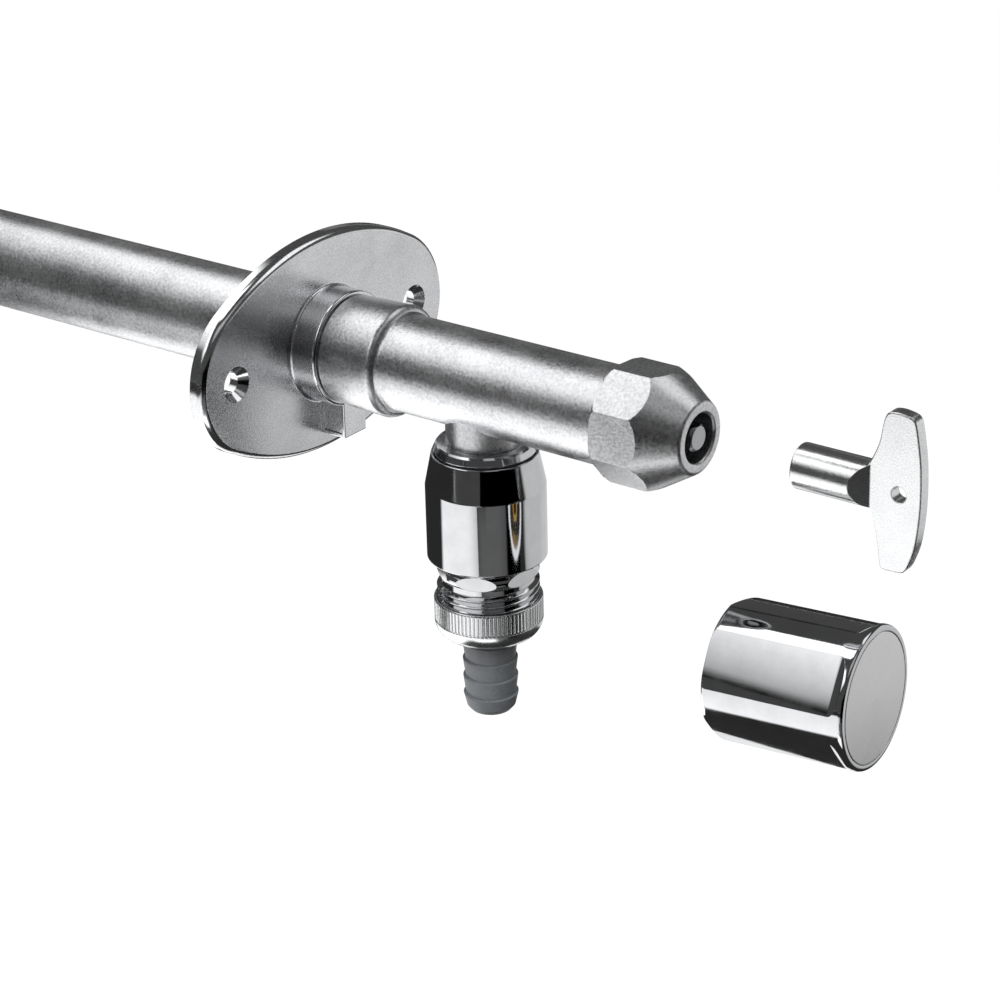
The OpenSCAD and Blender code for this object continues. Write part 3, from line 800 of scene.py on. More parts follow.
def slab(
    name: str, outline: Pairs, thick: float, soft: float = 0.0, parts: int = 1
) -> Piece:
    """Cuts a flat outline from plate, with its rims rounded over.

    Args:
        name: the piece's name.
        outline: Y and Z in mm of the outline's points, in order.
        thick: thickness along X in mm, half of it on each side.
        soft: radius of its rounded rims in mm.
        parts: number of layers through its thickness.

    Returns:
        The piece.
    """
    plate = trace(name, [(-thick / 2, y, z) for y, z in outline])
    open_mesh()
    bpy.ops.mesh.edge_face_add()
    for _ in range(parts):
        bpy.ops.mesh.extrude_region_move(TRANSFORM_OT_translate={"value": (thick / parts * MM, 0, 0)})
    bpy.ops.mesh.select_all(action="SELECT")
    bpy.ops.mesh.normals_make_consistent(inside=False)
    bpy.ops.mesh.select_all(action="DESELECT")
    close_mesh()
    if soft:
        modify(plate, "BEVEL", width=soft * MM, segments=4, angle_limit=math.radians(60))
    return plate


def combine(
    core: Piece, tool: Piece, place: Matrix | None = None, how: str = "DIFFERENCE"
) -> None:
    """Cuts a tool's solid away from a piece or adds it, and removes the tool.

    Args:
        core: the piece that stays.
        tool: the solid that is used up.
        place: where the tool goes first, or None to leave it where it is.
        how: UNION or DIFFERENCE.
    """
    if place is not None:
        tool.data.transform(place)
    close_up(tool)
    close_up(core)
    modify(core, "BOOLEAN", operation=how, solver="EXACT", object=tool)
    bpy.ops.object.select_all(action="DESELECT")
    tool.select_set(True)
    bpy.ops.object.delete()


def raise_solid(name: str, ring: Pairs, steps: Triples) -> Piece:
    """Raises a closed solid from a flat outline, step by step, upwards along Z.

    Args:
        name: the piece's name.
        ring: X and Y of the outline's points.
        steps: height in mm and the outline's scale along X and Y at that height.

    Returns:
        The solid, closed at both ends.
    """
    height, wide, deep = steps[0]
    solid = trace(name, [(x * wide, y * deep, height) for x, y in ring], "NGON")
    open_mesh()
    for high, next_wide, next_deep in steps[1:]:
        bpy.ops.mesh.extrude_region_move(TRANSFORM_OT_translate={"value": (0, 0, (high - height) * MM)})
        bpy.ops.transform.resize(
            value=(next_wide / wide, next_deep / deep, 1), center_override=(0, 0, high * MM)
        )
        height, wide, deep = high, next_wide, next_deep
    bpy.ops.mesh.select_all(action="SELECT")
    bpy.ops.mesh.normals_make_consistent(inside=False)
    close_mesh()
    return solid


def drill(name: str, steps: Pairs, sides: int = 64) -> Piece:
    """Makes a round cutting tool that points up Z.

    Args:
        name: the tool's name.
        steps: height and radius in mm from its lower end to its upper end.
        sides: faces round it.

    Returns:
        The tool.
    """
    turns = [math.tau * k / sides for k in range(sides)]
    ring = [(math.cos(a), math.sin(a)) for a in turns]
    return raise_solid(name, ring, [(high, r, r) for high, r in steps])


def rounded_path(points: Pairs, steps: int) -> list[tuple[float, float]]:
    """Runs a smooth closed curve through an outline's points.

    Args:
        points: the outline's points.
        steps: parts of each stretch between two points.

    Returns:
        The curve's points.
    """
    made: list[tuple[float, float]] = []
    count = len(points)
    for k in range(count):
        a, b, c, d = (Vector(points[(k + j) % count]) for j in (-1, 0, 1, 2))
        for step in range(steps):
            t = step / steps
            spot = b * 2 + (c - a) * t + (a * 2 - b * 5 + c * 4 - d) * t**2
            spot = (spot + (b * 3 - a - c * 3 + d) * t**3) / 2
            made.append((spot.x, spot.y))
    return made


# Turned pieces are made upright; this lays their axis along the tap's, pointing forwards.
AHEAD = spin(90, "X")


@dataclass
class BonnetNut:
    """Octagonal bonnet nut with turned corners, cone, nose and the recess round the stem.

    Args:
        back: where it meets the body in mm ahead of the wall face.
        across: width across its flats in mm.
        length: length of the octagon in mm.
        cone: length of the cone in mm.
        nose_r: radius of the nose face in mm.
        recess_r: radius of the recess in mm.
        turn: angle of its first flat from the top in degrees, towards the tap's left side.
        chamber_r: radius of its spigot in the body in mm.
        spigot: length of that spigot in mm.
        groove: front and rear of the O-ring's groove in mm behind the octagon.
        groove_t: depth of that groove in mm.
        hole_r: radius of the stem's hole in mm.
        deep: depth of the recess and of the stem's hole behind the nose in mm.
        bush_r: radius of the room for the stem bush in mm.
    """

    back: float = 97.0
    across: float = 28.64
    length: float = 12.0
    cone: float = 10.5
    nose_r: float = 8.5
    recess_r: float = 6.2
    turn: float = -4.0
    chamber_r: float = 9.95
    spigot: float = 13.0
    groove: tuple[float, float] = (2.8, 5.0)
    groove_t: float = 1.55
    hole_r: float = 4.05
    deep: tuple[float, float] = (12.5, 13.9)
    bush_r: float = 6.5

    def build(self) -> Piece:
        """Models the nut and puts it in place.

        Returns:
            The nut.
        """
        corner = self.across / 2 / math.cos(math.radians(22.5))
        nose = self.back + self.length + self.cone
        recess, hole = self.deep
        front, rear = self.groove
        profile = [
            (self.hole_r, nose - hole, 0.3),
            (self.hole_r, nose - recess, 0.3),
            (self.recess_r, nose - recess, 0.3),
            (self.recess_r, nose - 0.5, 0.2),
            (self.recess_r + 0.45, nose, 0.2),
            (self.nose_r, nose, 0.35),
            (self.nose_r + 0.6, nose - 0.4, 0.3),
            (corner + 0.1, self.back + self.length - 0.6, 0.8),
            (corner + 0.1, self.back + 1.2, 0.6),
            (corner - 0.7, self.back, 0.25),
            (self.chamber_r, self.back, 0.0),
            (self.chamber_r, self.back - front, 0.2),
            (self.chamber_r - self.groove_t, self.back - front, 0.3),
            (self.chamber_r - self.groove_t, self.back - rear, 0.3),
            (self.chamber_r, self.back - rear, 0.2),
            (self.chamber_r, self.back - self.spigot, 0.4),
            (self.bush_r, self.back - self.spigot, 0.3),
            (self.bush_r, nose - hole, 0.0),
        ]
        nut = turn_piece("octagonal_bonnet_nut", eased(profile, 5), 144)
        for k in range(8):
            a = math.radians(self.turn + 45 * k)
            outward = Vector((-math.sin(a), math.cos(a), 0))
            shave(nut, outward * self.across / 2, outward)
        coat(nut, SATIN_CHROME, 24, AHEAD)
        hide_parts("bonnet_nut")
        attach(nut, "fixed")
        return nut


@dataclass
class SocketKey:
    """Loose socket key: barrel with a square socket, slanted neck and a cast wing.

    Args:
        start: its open end in mm ahead of the wall face.
        barrel: length of its barrel in mm.
        radius: radius of its barrel in mm.
        neck: length of its neck up to the wing's root and on into the wing in mm.
        socket: width across the square socket in mm.
        socket_end: twice the depth of the socket in mm.
        wing: thickness of the wing in mm.
        hole: diameter of the hanging hole in mm.
        outline: the wing's distance ahead of its root and its height, point by point, in mm.
    """

    start: float = 147.6
    barrel: float = 14.8
    radius: float = 5.6
    neck: tuple[float, float] = (2.1, 3.0)
    socket: float = 6.1
    socket_end: float = 26
    wing: float = 3.6
    hole: float = 4.0
    outline: tuple[tuple[float, float], ...] = (
        (0.2, 4.3), (1.75, 5.35), (4.33, 10.79), (5.36, 15.84), (5.96, 18.08), (6.82, 19.15),
        (8.03, 19.54), (9.92, 19.6), (12.5, 19.15), (13.53, 18.47), (14.05, 17.3), (14.74, 13.61),
        (15.42, 8.75), (15.68, 4.37), (15.75, 0), (15.6, -3.89), (15.25, -7.87), (14.74, -11.47),
        (14.05, -14.29), (12.84, -17.5), (11.81, -19.25), (10.87, -19.73), (8.37, -19.9),
        (6.14, -19.83), (5.36, -18.66), (4.59, -13.41), (2.7, -5.54), (0.2, -4.3),
    )  # fmt: skip

    def build(self) -> Piece:
        """Models the key and puts it in place.

        Returns:
            The key.
        """
        before, into = self.neck
        root = self.start + self.barrel + before
        end = root + into
        profile = [
            (0.02, self.start, 0.0),
            (self.radius, self.start, 0.45),
            (self.radius, end, 0.0),
            (0.02, end, 0.0),
        ]
        key = turn_piece("socket_key_casting", eased(profile, 5), 96)
        half = self.wing / 2 - 0.05
        run = Vector((self.radius - half, end - 0.5 - (self.start + self.barrel - 0.2)))
        for side in (-1, 1):
            shave(key, (side * half, 0, end - 0.5), (side * run.y, 0, run.x))
        finish_mesh(key, 30)
        key.data.transform(AHEAD)
        edge = [(-root - y, z) for y, z in rounded_path(self.outline, 4)]
        wing = slab("wing", edge, self.wing, 0.55)
        combine(key, wing, how="UNION")
        bpy.ops.mesh.primitive_cylinder_add(
            vertices=48,
            radius=self.hole / 2 * MM,
            depth=0.02,
            location=(0, (-root - 10) * MM, -0.25 * MM),
            rotation=(0, math.radians(90), 0),
        )
        combine(key, bpy.context.object)
        bpy.ops.mesh.primitive_cube_add(size=self.socket * MM, location=(0, -self.start * MM, 0))
        bpy.ops.object.mode_set(mode="EDIT")
        stretch = (1, self.socket_end / self.socket, 1)
        bpy.ops.transform.resize(value=stretch, center_override=(0, -self.start * MM, 0))
        bpy.ops.object.mode_set(mode="OBJECT")
        combine(key, bpy.context.object)
        coat(key, CAST_CHROME, 30)
        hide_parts("socket_key")
        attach(key, "key")
        return key


@dataclass
class Knob:
    """Loose hand knob: plated shell with long finger flats and a brushed disc.

    Args:
        place: the middle of its front face in mm.
        yaw: its turn to the left in degrees.
        pitch: the rise of its front in degrees.
        radius: its radius in mm.
        length: its length in mm.
        flats: number of finger flats.
        first: angle of one flat from the top, towards the left side, in degrees.
        flat_at: distance of a flat from the axis in mm.
        crown: how far a flat falls off at its sides in mm.
        half_flat: half a flat's width in mm.
        flat_to: where a flat's scooped end begins in mm from the open end.
        scoop: radius of that scooped end in mm.
        bore: radius of the hole for the insert in mm.
        inside: radius and depth of the hollow in mm.
        cap_r: radius of the disc in mm.
        cap_t: thickness of the disc in mm.
    """

    place: tuple[float, float, float] = (0.0, -169.1, -54.6)
    yaw: float = 4.7
    pitch: float = -1.8
    radius: float = 17.8
    length: float = 37.6
    flats: int = 5
    first: float = 58.5
    flat_at: float = 16.5
    crown: float = 0.22
    half_flat: float = 6.7
    flat_to: float = 33.6
    scoop: float = 3.2
    bore: float = 5.62
    inside: tuple[float, float] = (13.0, 12.0)
    cap_r: float = 16.2
    cap_t: float = 1.2

    def rest(self) -> Matrix:
        """Gives the knob's place as photographed.

        Returns:
            The matrix from the upright making position to the place.
        """
        spot = Matrix.Translation(Vector(self.place) * MM)
        lean = spin(self.yaw, "Z") @ spin(self.pitch, "X")
        return spot @ lean @ AHEAD @ shift(0, 0, -self.length)

    def shell(self) -> Piece:
        """Models the plated shell.

        Returns:
            The shell.
        """
        top = self.length
        hollow, depth = self.inside
        profile = [
            (self.bore, depth, 0.2),
            (hollow, depth, 0.5),
            (hollow, 0.0, 0.3),
            (self.radius, 0.0, 1.4),
            (self.radius, top, 1.3),
            (self.cap_r, top, 0.15),
            (self.cap_r, top - self.cap_t, 0.0),
            (self.bore, top - self.cap_t, 0.0),
        ]
        body = turn_piece("knob_shell_plated", eased(profile, 8), 180)
        deep = self.radius - self.flat_at
        scoop = self.scoop
        outline = [(-2.0, self.flat_at), (self.flat_to, self.flat_at)]
        reach = math.degrees(math.acos(1 - (deep + 0.4) / scoop))
        for step in range(1, 13):
            a = math.radians(reach * step / 12)
            outline.append((self.flat_to + scoop * math.sin(a), self.flat_at + scoop * (1 - math.cos(a))))
        outline += [(outline[-1][0], self.radius + 4), (-2.0, self.radius + 4)]
        for k in range(self.flats):
            tool = slab("finger_flat_cutter", outline, 2.2 * self.radius, parts=48)
            for v in tool.data.vertices:
                v.co.z -= self.crown * MM * (v.co.x / (self.half_flat * MM)) ** 2
            # The cutter's Y becomes the axis and its Z the flat's outward direction.
            tool.data.transform(AHEAD @ Matrix.Scale(-1, 4, (0, 0, 1)))
            combine(body, tool, spin(self.first + 360 * k / self.flats, "Z"))
        return body

    def cap(self) -> Piece:
        """Models the disc in the front end.

        Returns:
            The disc.
        """
        top, rim = self.length, self.cap_r - 0.02
        profile = [(0.02, top - self.cap_t), (rim, top - self.cap_t), (rim, top - 0.3), (rim - 0.3, top)]
        profile += [(rim * (1 - k / 8), top + 0.25 * (k / 8)) for k in range(1, 8)] + [(0.02, top + 0.25)]
        return turn_piece("knob_disc_brushed", profile, 120)

    def build(self) -> list[Piece]:
        """Models the shell and the disc and puts them in place.

        Returns:
            The two pieces.
        """
        body = coat(self.shell(), BRIGHT_CHROME, 16, self.rest())
        disc = coat(self.cap(), SATIN_DISC, 30, self.rest())
        dress = ((body, "knob_shell", "polished_chrome"), (disc, "knob_cap", "satin_disc"))
        for piece, node, slot in dress:
            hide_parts(node)
            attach(piece, "knob")
        return [body, disc]


@dataclass
class WallFlange:
    """Oval wall plate with a rounded rim, its collar and the clamp lug under it.

    Args:
        half: half its width and height in mm.
        arcs: radii of its long arcs and its end arcs in mm.
        thick: thickness of the plate in mm.
        rim: radius of its rounded rim in mm.
        collar: radius and length of the collar in mm.
        bore: radius of the hole for the barrel in mm.
        fillet: radius of the fillet between plate and collar in mm.
        lug: width and drop of the clamp lug in mm.
        lug_root: where the lug and its sunk panels begin in mm below the axis.
        screw: radius of the set screw's mouth and of its hole in mm.
        screws: distance of the screw holes from the middle in mm.
        hole: radius of a screw hole and of its countersink in mm.
    """

    half: tuple[float, float] = (48.15, 28.85)
    arcs: tuple[float, float] = (71.55, 21.06)
    thick: float = 4.5
    rim: float = 2.2
    collar: tuple[float, float] = (15.1, 12.5)
    bore: float = 13.12
    fillet: float = 0.9
    lug: tuple[float, float] = (8.6, 23.7)
    lug_root: tuple[float, float] = (12.6, 16.5)
    screw: tuple[float, float] = (3.1, 2.55)
    screws: float = 35.5
    hole: tuple[float, float] = (2.65, 4.7)

    def outline(self) -> list[tuple[float, float]]:
        """Draws the oval from two long arcs and two end arcs.

        Returns:
            X and Z in mm of its points, in order.
        """
        wide, high = self.half
        long_r, end_r = self.arcs
        meet = wide - end_r + end_r * 0.42
        first, last = math.asin(meet / long_r), math.asin(0.42)
        quarter = []
        for step in range(17):
            a = first * step / 16
            quarter.append((long_r * math.sin(a), long_r * math.cos(a) - long_r + high))
        for step in range(1, 21):
            a = last + (math.pi / 2 - last) * step / 20
            quarter.append((wide - end_r + end_r * math.sin(a), end_r * math.cos(a)))
        under = [(x, -z) for x, z in reversed(quarter[:-1])]
        right = quarter + under
        return right + [(-x, z) for x, z in reversed(right[1:-1])]

    def plate(self) -> Piece:
        """Raises the plate with its rounded rim.

        Returns:
            The plate, lying flat with its face up.
        """
        wide, high = self.half
        steps = [(0.0, 1 - 0.3 / wide, 1 - 0.3 / high), (0.3, 1.0, 1.0)]
        for step in range(8):
            a = math.radians(11 * step)
            off = self.rim * (1 - math.cos(a))
            lift = self.thick - self.rim + self.rim * math.sin(a) / math.sin(math.radians(77))
            steps.append((lift, 1 - off / wide, 1 - off / high))
        return raise_solid("wall_plate", self.outline(), steps)

    def build(self) -> Piece:
        """Models the flange and puts it in place.

        Returns:
            The flange.
        """
        plate = self.plate()
        r, tall = self.collar
        ease = self.fillet
        profile = [(r - 4, 1.0, 0.0), (r + ease, 1.0, 0.0), (r + ease, self.thick - 0.02, 0.0)]
        for step in range(1, 6):
            a = math.radians(18 * step)
            profile.append((r + ease - ease * math.sin(a), self.thick + ease - ease * math.cos(a), 0.0))
        profile += [(r, tall, 0.75), (r - 1.5, tall, 0.0), (r - 4, tall, 0.0)]
        combine(plate, turn_piece("collar", eased(profile, 5), 128), how="UNION")
        wide, drop = self.lug
        mid = (self.thick + tall - 0.05) / 2
        root, panel_root = self.lug_root
        ends = [(-drop, 1.0), (-drop, tall), (-root, tall), (-root, 1.0)]
        combine(plate, slab("clamp_lug", ends, wide, 0.35), how="UNION")
        for side in (-1, 1):
            low, top = self.thick + 1.0, tall - 1.0
            ends = [(-drop + 1, low), (-drop + 1, top), (-panel_root, top), (-panel_root, low)]
            panel = slab("panel", ends, 0.8)
            combine(plate, panel, shift(side * wide / 2, 0, 0))
            narrow, broad = self.hole
            sink = self.thick - (broad - narrow)
            steps = [(-1, narrow), (sink, narrow), (self.thick + 0.02, broad + 0.02), (6, broad + 2)]
            combine(plate, drill("bit", steps), shift(side * self.screws, 0, 0))
        combine(plate, drill("bit", [(-1, self.bore), (tall + 1, self.bore)], 128))
        mouth, thread = self.screw
        steps = [(-drop - 1, mouth), (-drop, mouth), (-drop + 0.6, thread), (-10, thread)]
        bit = drill("bit", steps, 48)
        combine(plate, bit, shift(0, 0, mid) @ spin(-90, "X"))
        coat(plate, PLATE_CHROME, 28, AHEAD)
        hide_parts("wall_flange")
        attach(plate, "fixed")
        return plate


@dataclass
class ValveBody:
    """Front casting of the tap: flared hub, long cylinder and the spigot to the outlet.

    Args:
        start: where it begins in mm ahead of the wall.
        end: where it ends in mm ahead of the wall.
        hub: radius of the hub at its rear and at its front in mm.
        hub_end: where the hub ends in mm ahead of the wall.
        radius: radius of the long cylinder in mm.
        socket: radius and length of the barrel's socket in mm.
        chamber: radius of its bore in mm.
        spigot: radius of the spigot and of its threaded neck in mm.
        drop: lower ends of the spigot and of its neck in mm below the tap's axis.
        water: radius of the waterway through the spigot in mm.
    """

    start: float = 12.9
    end: float = 97.0
    hub: tuple[float, float] = (14.10, 14.65)
    hub_end: float = 28.5
    radius: float = 12.53
    socket: tuple[float, float] = (13.07, 14.0)
    chamber: float = 10.0
    spigot: tuple[float, float] = (9.8, 8.5)
    drop: tuple[float, float] = (15.5, 23.5)
    water: float = 6.0

    def build(self, outlet: Matrix) -> Piece:
        """Models the body and puts it in place.

        Args:
            outlet: the place of the outlet's axis.

        Returns:
            The body.
        """
        rear, front = self.hub
        bead = [
            (rear, self.start, 0.3),
            (front, self.hub_end - 0.2, 0.0),
            (front - 0.25, self.hub_end + 0.6, 0.0),
            (front - 0.85, self.hub_end + 1.3, 0.0),
            (self.radius + 0.55, self.hub_end + 1.6, 0.0),
            (self.radius - 0.02, self.hub_end + 2.5, 0.0),
            (self.radius, self.end, 0.4),
            (self.chamber, self.end, 0.3),
            (self.chamber, self.start + self.socket[1], 0.0),
            (self.socket[0], self.start + self.socket[1], 0.0),
            (self.socket[0], self.start, 0.0),
        ]
        body = turn_piece("valve_body_casting", eased(bead, 4), 144)
        body.data.transform(AHEAD)
        wide, neck = self.spigot
        low, tip = self.drop
        stub = [(-tip, neck - 0.5), (-tip + 0.5, neck), (-low, neck), (-low, wide - 0.3)]
        stub += [(-low + 0.3, wide), (-4.0, wide)]
        combine(body, drill("spigot", stub, 128), outlet, "UNION")
        first = self.start + self.socket[1] + 5
        bit = drill("bit", [(first, self.chamber), (self.end - 5, self.chamber)], 144)
        combine(body, bit, AHEAD)
        combine(body, drill("bit", [(-tip - 2, self.water), (-2.0, self.water)]), outlet)
        coat(body, SATIN_CHROME, 35)
        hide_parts("valve_body")
        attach(body, "fixed")
        return body


@dataclass
class OutletShroud:
    """Bright sleeve round the anti-siphon valve, with milled wrench flats at its foot.

    Args:
        top: its upper end in mm below the tap's axis.
        shoulder: lower end of its taper in mm.
        bevel: upper and lower end of the bevel at its foot in mm.
        low: its lower end in mm.
        radius: radius of its upper end and its cylinder in mm.
        bead: radius of the foot's bead at its ends and at its middle in mm.
        core: radius inside it in mm, down to the adapter and beside the adapter.
        core_end: where the adapter begins in mm.
        turns: degrees of the flats round the outlet, from the tap's front.
        cutter: half the width of the cutter that mills them and its height in mm.
    """

    top: float = 18.2
    shoulder: float = 27.0
    bevel: tuple[float, float] = (46.5, 48.3)
    low: float = 52.0
    radius: tuple[float, float] = (13.6, 15.4)
    bead: tuple[float, float] = (12.3, 13.4)
    core: tuple[float, float] = (11.35, 10.95)
    core_end: float = 44.0
    turns: tuple[float, ...] = (-67.0, -7.0, 53.0, 113.0, 173.0, 233.0)
    cutter: tuple[float, float] = (8.0, 4.0)

    def build(self, outlet: Matrix) -> Piece:
        """Models the shroud and puts it in place.

        Args:
            outlet: the place of the outlet's axis.

        Returns:
            The shroud.
        """
        rim, wide = self.radius
        neck, crest = self.bead
        first, last = self.bevel
        reach = (self.low - last) / 2
        foot = []
        for step in range(17):
            off = step / 8 - 1
            foot.append((neck + (crest - neck) * (1 - off * off), last + reach * (1 + off), 0.0))
        profile = [
            (rim, self.top, 0.35),
            (wide, self.shoulder, 0.25),
            (wide, first, 0.25),
            *foot,
            (self.core[1], self.low, 0.2),
            (self.core[1], self.core_end, 0.0),
            (self.core[0], self.core_end, 0.0),
            (self.core[0], self.top, 0.2),
        ]
        sleeve = turn_piece("outlet_sleeve", [(r, -d) for r, d in eased(profile, 4)], 144)
        half, tall = self.cutter
        ring = [(half, -self.low - 0.5), (half, -last), (-half, -last), (-half, -self.low - 0.5)]
        for turn in self.turns:
            cutter = raise_solid("cutter", ring, [(neck, 1, 1), (neck + tall, 1, 1)])
            combine(sleeve, cutter, spin(turn, "Z") @ AHEAD)
        coat(sleeve, BRIGHT_CHROME, 10, outlet)
        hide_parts("outlet_shroud")
        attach(sleeve, "fixed")
        return sleeve


@dataclass
class UnionNut:
    """Knurled nut that clamps the hose tail to the outlet.

    Args:
        top: its upper face in mm below the tap's axis.
        low: its lower face in mm below the tap's axis.
        radius: radius over the knurl in mm.
        foot: radius of the rounded foot in mm.
        thread: radius of its thread's crests in mm.
        pocket: radius and upper height of the pocket for the tail's flange in mm.
        bore: radius of the hole that the tail passes in mm.
        ridges: number of ridges in the knurl.
    """

    top: float = 58.1
    low: float = 69.1
    radius: float = 14.05
    foot: float = 4.9
    thread: float = 13.27
    pocket: tuple[float, float] = (11.35, 63.2)
    bore: float = 7.35
    ridges: int = 84

    def profile(self) -> list[tuple[float, float]]:
        """Gives the nut's turned outline.

        Returns:
            Radius and height of its points, downwards from the tap's axis.
        """
        rim = self.radius
        dome = self.low - self.foot
        outer = [(self.thread, self.top, 0.0), (rim, self.top, 0.55), (rim, self.top + 5.6, 0.0)]
        outer += [(rim - 0.28, self.top + 5.75, 0.0), (rim - 0.28, self.top + 5.95, 0.0), (rim, dome, 0.0)]
        points = eased(outer, 4)
        for step in range(1, 13):
            a = math.radians(90 * step / 12)
            points.append((rim - self.foot + self.foot * math.cos(a), dome + self.foot * math.sin(a)))
        wide, high = self.pocket
        inner = [(self.bore, self.low), (self.bore, self.low - 2.7), (wide, self.low - 2.7)]
        inner += [(wide, high), (self.thread, high - 1.0)]
        return [(r, -d) for r, d in points + inner]

    def build(self, outlet: Matrix) -> Piece:
        """Models the nut and puts it in place.

        Args:
            outlet: the place of the outlet's axis.

        Returns:
            The nut.
        """
        sides = self.ridges * 4
        nut = turn_piece("knurled_union_nut", self.profile(), sides)
        cut_knurl(nut, -self.top - 5.65, -self.top - 0.5, sides, 0.026)
        coat(nut, KNURLED_CHROME, 32, outlet)
        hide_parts("union_nut")
        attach(nut, "union")
        return nut


@dataclass
class OutletAdapter:
    """Threaded outlet under the shroud, with its real hose thread.

    Args:
        top: its upper end in mm below the tap's axis.
        shoulder: where it leaves the shroud in mm.
        low: its lower end in mm.
        sleeve: radius inside the shroud in mm.
        crest: radius over the thread in mm.
        bore: radius of the valve's chamber in mm.
    """

    top: float = 44.0
    shoulder: float = 52.05
    low: float = 61.6
    sleeve: float = 10.9
    crest: float = 13.2
    bore: float = 8.0

    def build(self, outlet: Matrix) -> Piece:
        """Models the adapter and puts it in place.

        Args:
            outlet: the place of the outlet's axis.

        Returns:
            The adapter.
        """
        root = self.crest - THREAD_DEPTH
        profile = [
            (1.95, self.top, 0.0),
            (self.sleeve, self.top, 0.3),
            (self.sleeve, self.shoulder, 0.0),
            (root, self.shoulder, 0.0),
            (root, self.low, 0.5),
            (self.bore, self.low, 0.4),
            (self.bore, self.top + 1.5, 0.6),
            (1.95, self.top + 1.5, 0.0),
        ]
        body = turn_piece("hose_thread_adapter", [(r, -d) for r, d in eased(profile, 4)], 128)
        outline = thread_outline(root, self.crest, THREAD_PITCH)
        ridge = wind_ridge("hose_thread", outline, THREAD_PITCH, 4, 128)
        ridge.data.transform(shift(0, 0, -(self.low - 0.75)))
        join(body, ridge)
        coat(body, BRIGHT_CHROME, 38, outlet)
        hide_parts("outlet_adapter")
        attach(body, "fixed")
        return body


@dataclass
class SeatBody:
    """Brass seat at the barrel's warm end, with wrench flats and the inlet thread.

    Args:
        lip: where the raised seat stands in mm behind the wall face.
        plug: where the plug in the barrel begins in mm.
        barrel_end: where the barrel ends in mm.
        collar: length of the wrench collar in mm.
        thread: length of the inlet thread in mm.
        plug_r: radius of the plug in mm.
        collar_r: radius of the collar in mm.
        crest: radius over the inlet thread in mm.
        bore: radius of the inlet's bore in mm.
        throat: radius of the seat's hole in mm.
    """

    lip: float = 132.0
    plug: float = 134.0
    barrel_end: float = 150.0
    collar: float = 10.0
    thread: float = 14.0
    plug_r: float = 11.5
    collar_r: float = 13.05
    crest: float = 10.46
    bore: float = 7.48
    throat: float = 5.0

    def build(self) -> Piece:
        """Models the seat body and puts it in place.

        Returns:
            The seat body.
        """
        root = self.crest - THREAD_DEPTH
        back = self.barrel_end + self.collar
        end = back + self.thread
        profile = [
            (self.throat, self.lip, 0.25),
            (self.throat + 1.5, self.lip, 0.25),
            (self.throat + 1.5, self.plug, 0.3),
            (self.plug_r, self.plug, 0.5),
            (self.plug_r, self.barrel_end, 0.0),
            (self.collar_r, self.barrel_end, 0.4),
            (self.collar_r, self.barrel_end + 1.8, 0.0),
            (self.collar_r, self.barrel_end + 2.2, 0.0),
            (self.collar_r, back, 0.5),
            (root, back, 0.3),
            (root, end, 0.6),
            (self.bore, end, 0.4),
            (self.bore, self.barrel_end - 0.5, 0.5),
            (self.throat, self.barrel_end - 3.0, 0.5),
        ]
        body = turn_piece("brass_seat_body", eased(profile, 4), 112)
        flat = self.collar_r * 0.84 * MM
        for v in body.data.vertices:
            if self.barrel_end + 2.0 < v.co.z / MM < back + 0.01:
                v.co.y = max(-flat, min(flat, v.co.y))
        turns = int((self.thread - 1.6) / THREAD_PITCH)
        outline = thread_outline(root, self.crest, THREAD_PITCH)
        ridge = wind_ridge("inlet_thread", outline, THREAD_PITCH, turns, 112)
        ridge.data.transform(shift(0, 0, end - 0.9 - turns * THREAD_PITCH))
        join(body, ridge)
        coat(body, BRASS, 38, spin(-90, "X"))
        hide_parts("seat_body")
        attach(body, "fixed")
        return body


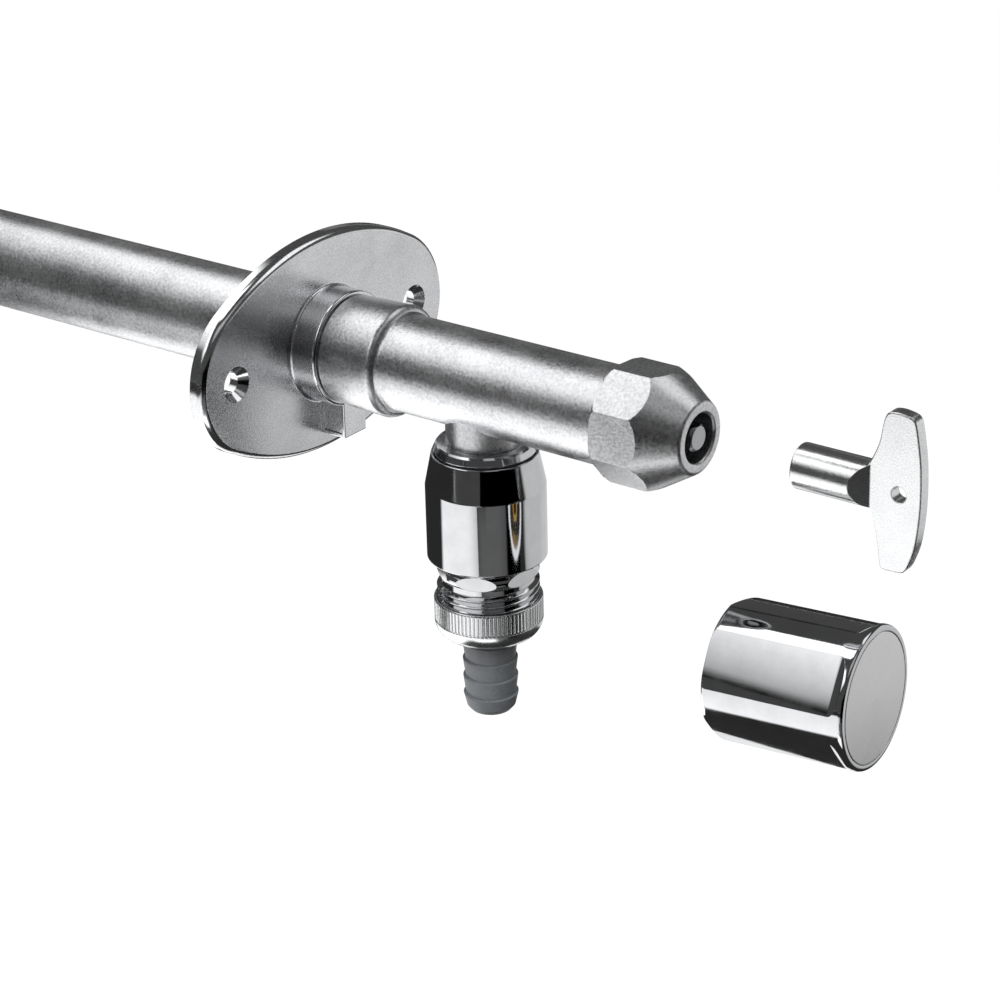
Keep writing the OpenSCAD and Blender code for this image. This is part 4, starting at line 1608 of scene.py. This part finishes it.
@dataclass
class CheckSpring:
    """Round wire spring of the anti-siphon check, with closed end turns.

    Args:
        top: its upper end in mm below the tap's axis.
        low: its lower end in mm.
        radius: radius to the middle of the wire in mm.
        wire: radius of the wire in mm.
        turns: number of turns.
        travel: how far the poppet shortens it in mm. Not used.
        steps: steps in each turn.
    """

    top: float = 30.02
    low: float = 43.98
    radius: float = 4.6
    wire: float = 0.38
    turns: int = 7
    travel: float = 4.0
    steps: int = 40

    def build(self, outlet: Matrix) -> Piece:
        """Winds the spring and puts it in place.

        Args:
            outlet: the place of the outlet's axis.

        Returns:
            The spring.
        """
        around = [math.tau * k / 10 for k in range(10)]
        outline = [(self.radius + self.wire * math.cos(a), self.wire * math.sin(a)) for a in around]
        open_pitch = (self.low - self.top - 6 * self.wire) / (self.turns - 2)
        coil = wind_ridge("check_spring_wire", outline, open_pitch, self.turns - 2, self.steps)
        coil.data.transform(shift(0, 0, -(self.low - 3 * self.wire)))
        ends = []
        for name, height in (("low_turn", self.low - self.wire), ("top_turn", self.top + 3 * self.wire)):
            turn = wind_ridge(name, outline, 2 * self.wire, 1, self.steps)
            turn.data.transform(shift(0, 0, -height))
            ends.append(turn)
        join(coil, *ends)
        coat(coil, STAINLESS, 60, outlet)
        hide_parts("check_spring")
        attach(coil, "fixed")
        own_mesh(coil)
        return coil


@dataclass
class Dress:
    """Gives carried-over CAD solids their finishes.

    Args:
        nodes: the frame's objects by name.
        table: names of the solids that each finish covers.
    """

    nodes: dict[str, Piece]
    table: list[tuple[Finish, tuple[str, ...]]] = field(
        default_factory=lambda: [
            (SATIN_CHROME, ("wall_flange", "valve_body", "barrel_tube", "bonnet_nut", "socket_key")),
            (BRIGHT_CHROME, ("knob_shell", "breaker_ring", "outlet_shroud", "outlet_adapter", "union_nut")),
            (SATIN_DISC, ("knob_cap",)),
            (BRASS, ("seat_body", "stem_bush", "valve_head", "washer_screw", "knob_insert")),
            (STAINLESS, ("stem", "swivel_pin", "check_spring", "flange_set_screw")),
            (RUBBER, ("bonnet_o_ring", "stem_packing", "seat_washer")),
            (RUBBER, ("spigot_gasket", "poppet_ring", "hose_gasket")),
            (WHITE_PLASTIC, ("stem_guide", "check_poppet")),
            (GREY_PLASTIC, ("breaker_body", "hose_tail")),
        ]
    )

    def build(self) -> None:
        """Dresses every solid in the table."""
        for finish, names in self.table:
            for name in names:
                solid = self.nodes[name]
                solid.data.materials.clear()
                solid.data.materials.append(finish.material())
                LOG.info("%s: %s", name, finish.surface.value)


def main() -> None:
    """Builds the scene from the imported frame."""
    logging.basicConfig(level=logging.INFO)
    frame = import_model()
    Dress(frame["nodes"]).build()
    outlet = shift(0, -OUTLET_AHEAD, 0)
    for part in (ValveBody(), OutletShroud(), UnionNut(), OutletAdapter(), CheckSpring()):
        piece = part.build(outlet)
        LOG.info("%s: %d faces", piece.name, len(piece.data.polygons))
    for part in (WallFlange(), SeatBody(), BonnetNut(), SocketKey()):
        piece = part.build()
        LOG.info("%s: %d faces", piece.name, len(piece.data.polygons))
    for piece in Knob().build():
        LOG.info("%s: %d faces", piece.name, len(piece.data.polygons))
    Studio().build()


if __name__ == "__main__":
    main()
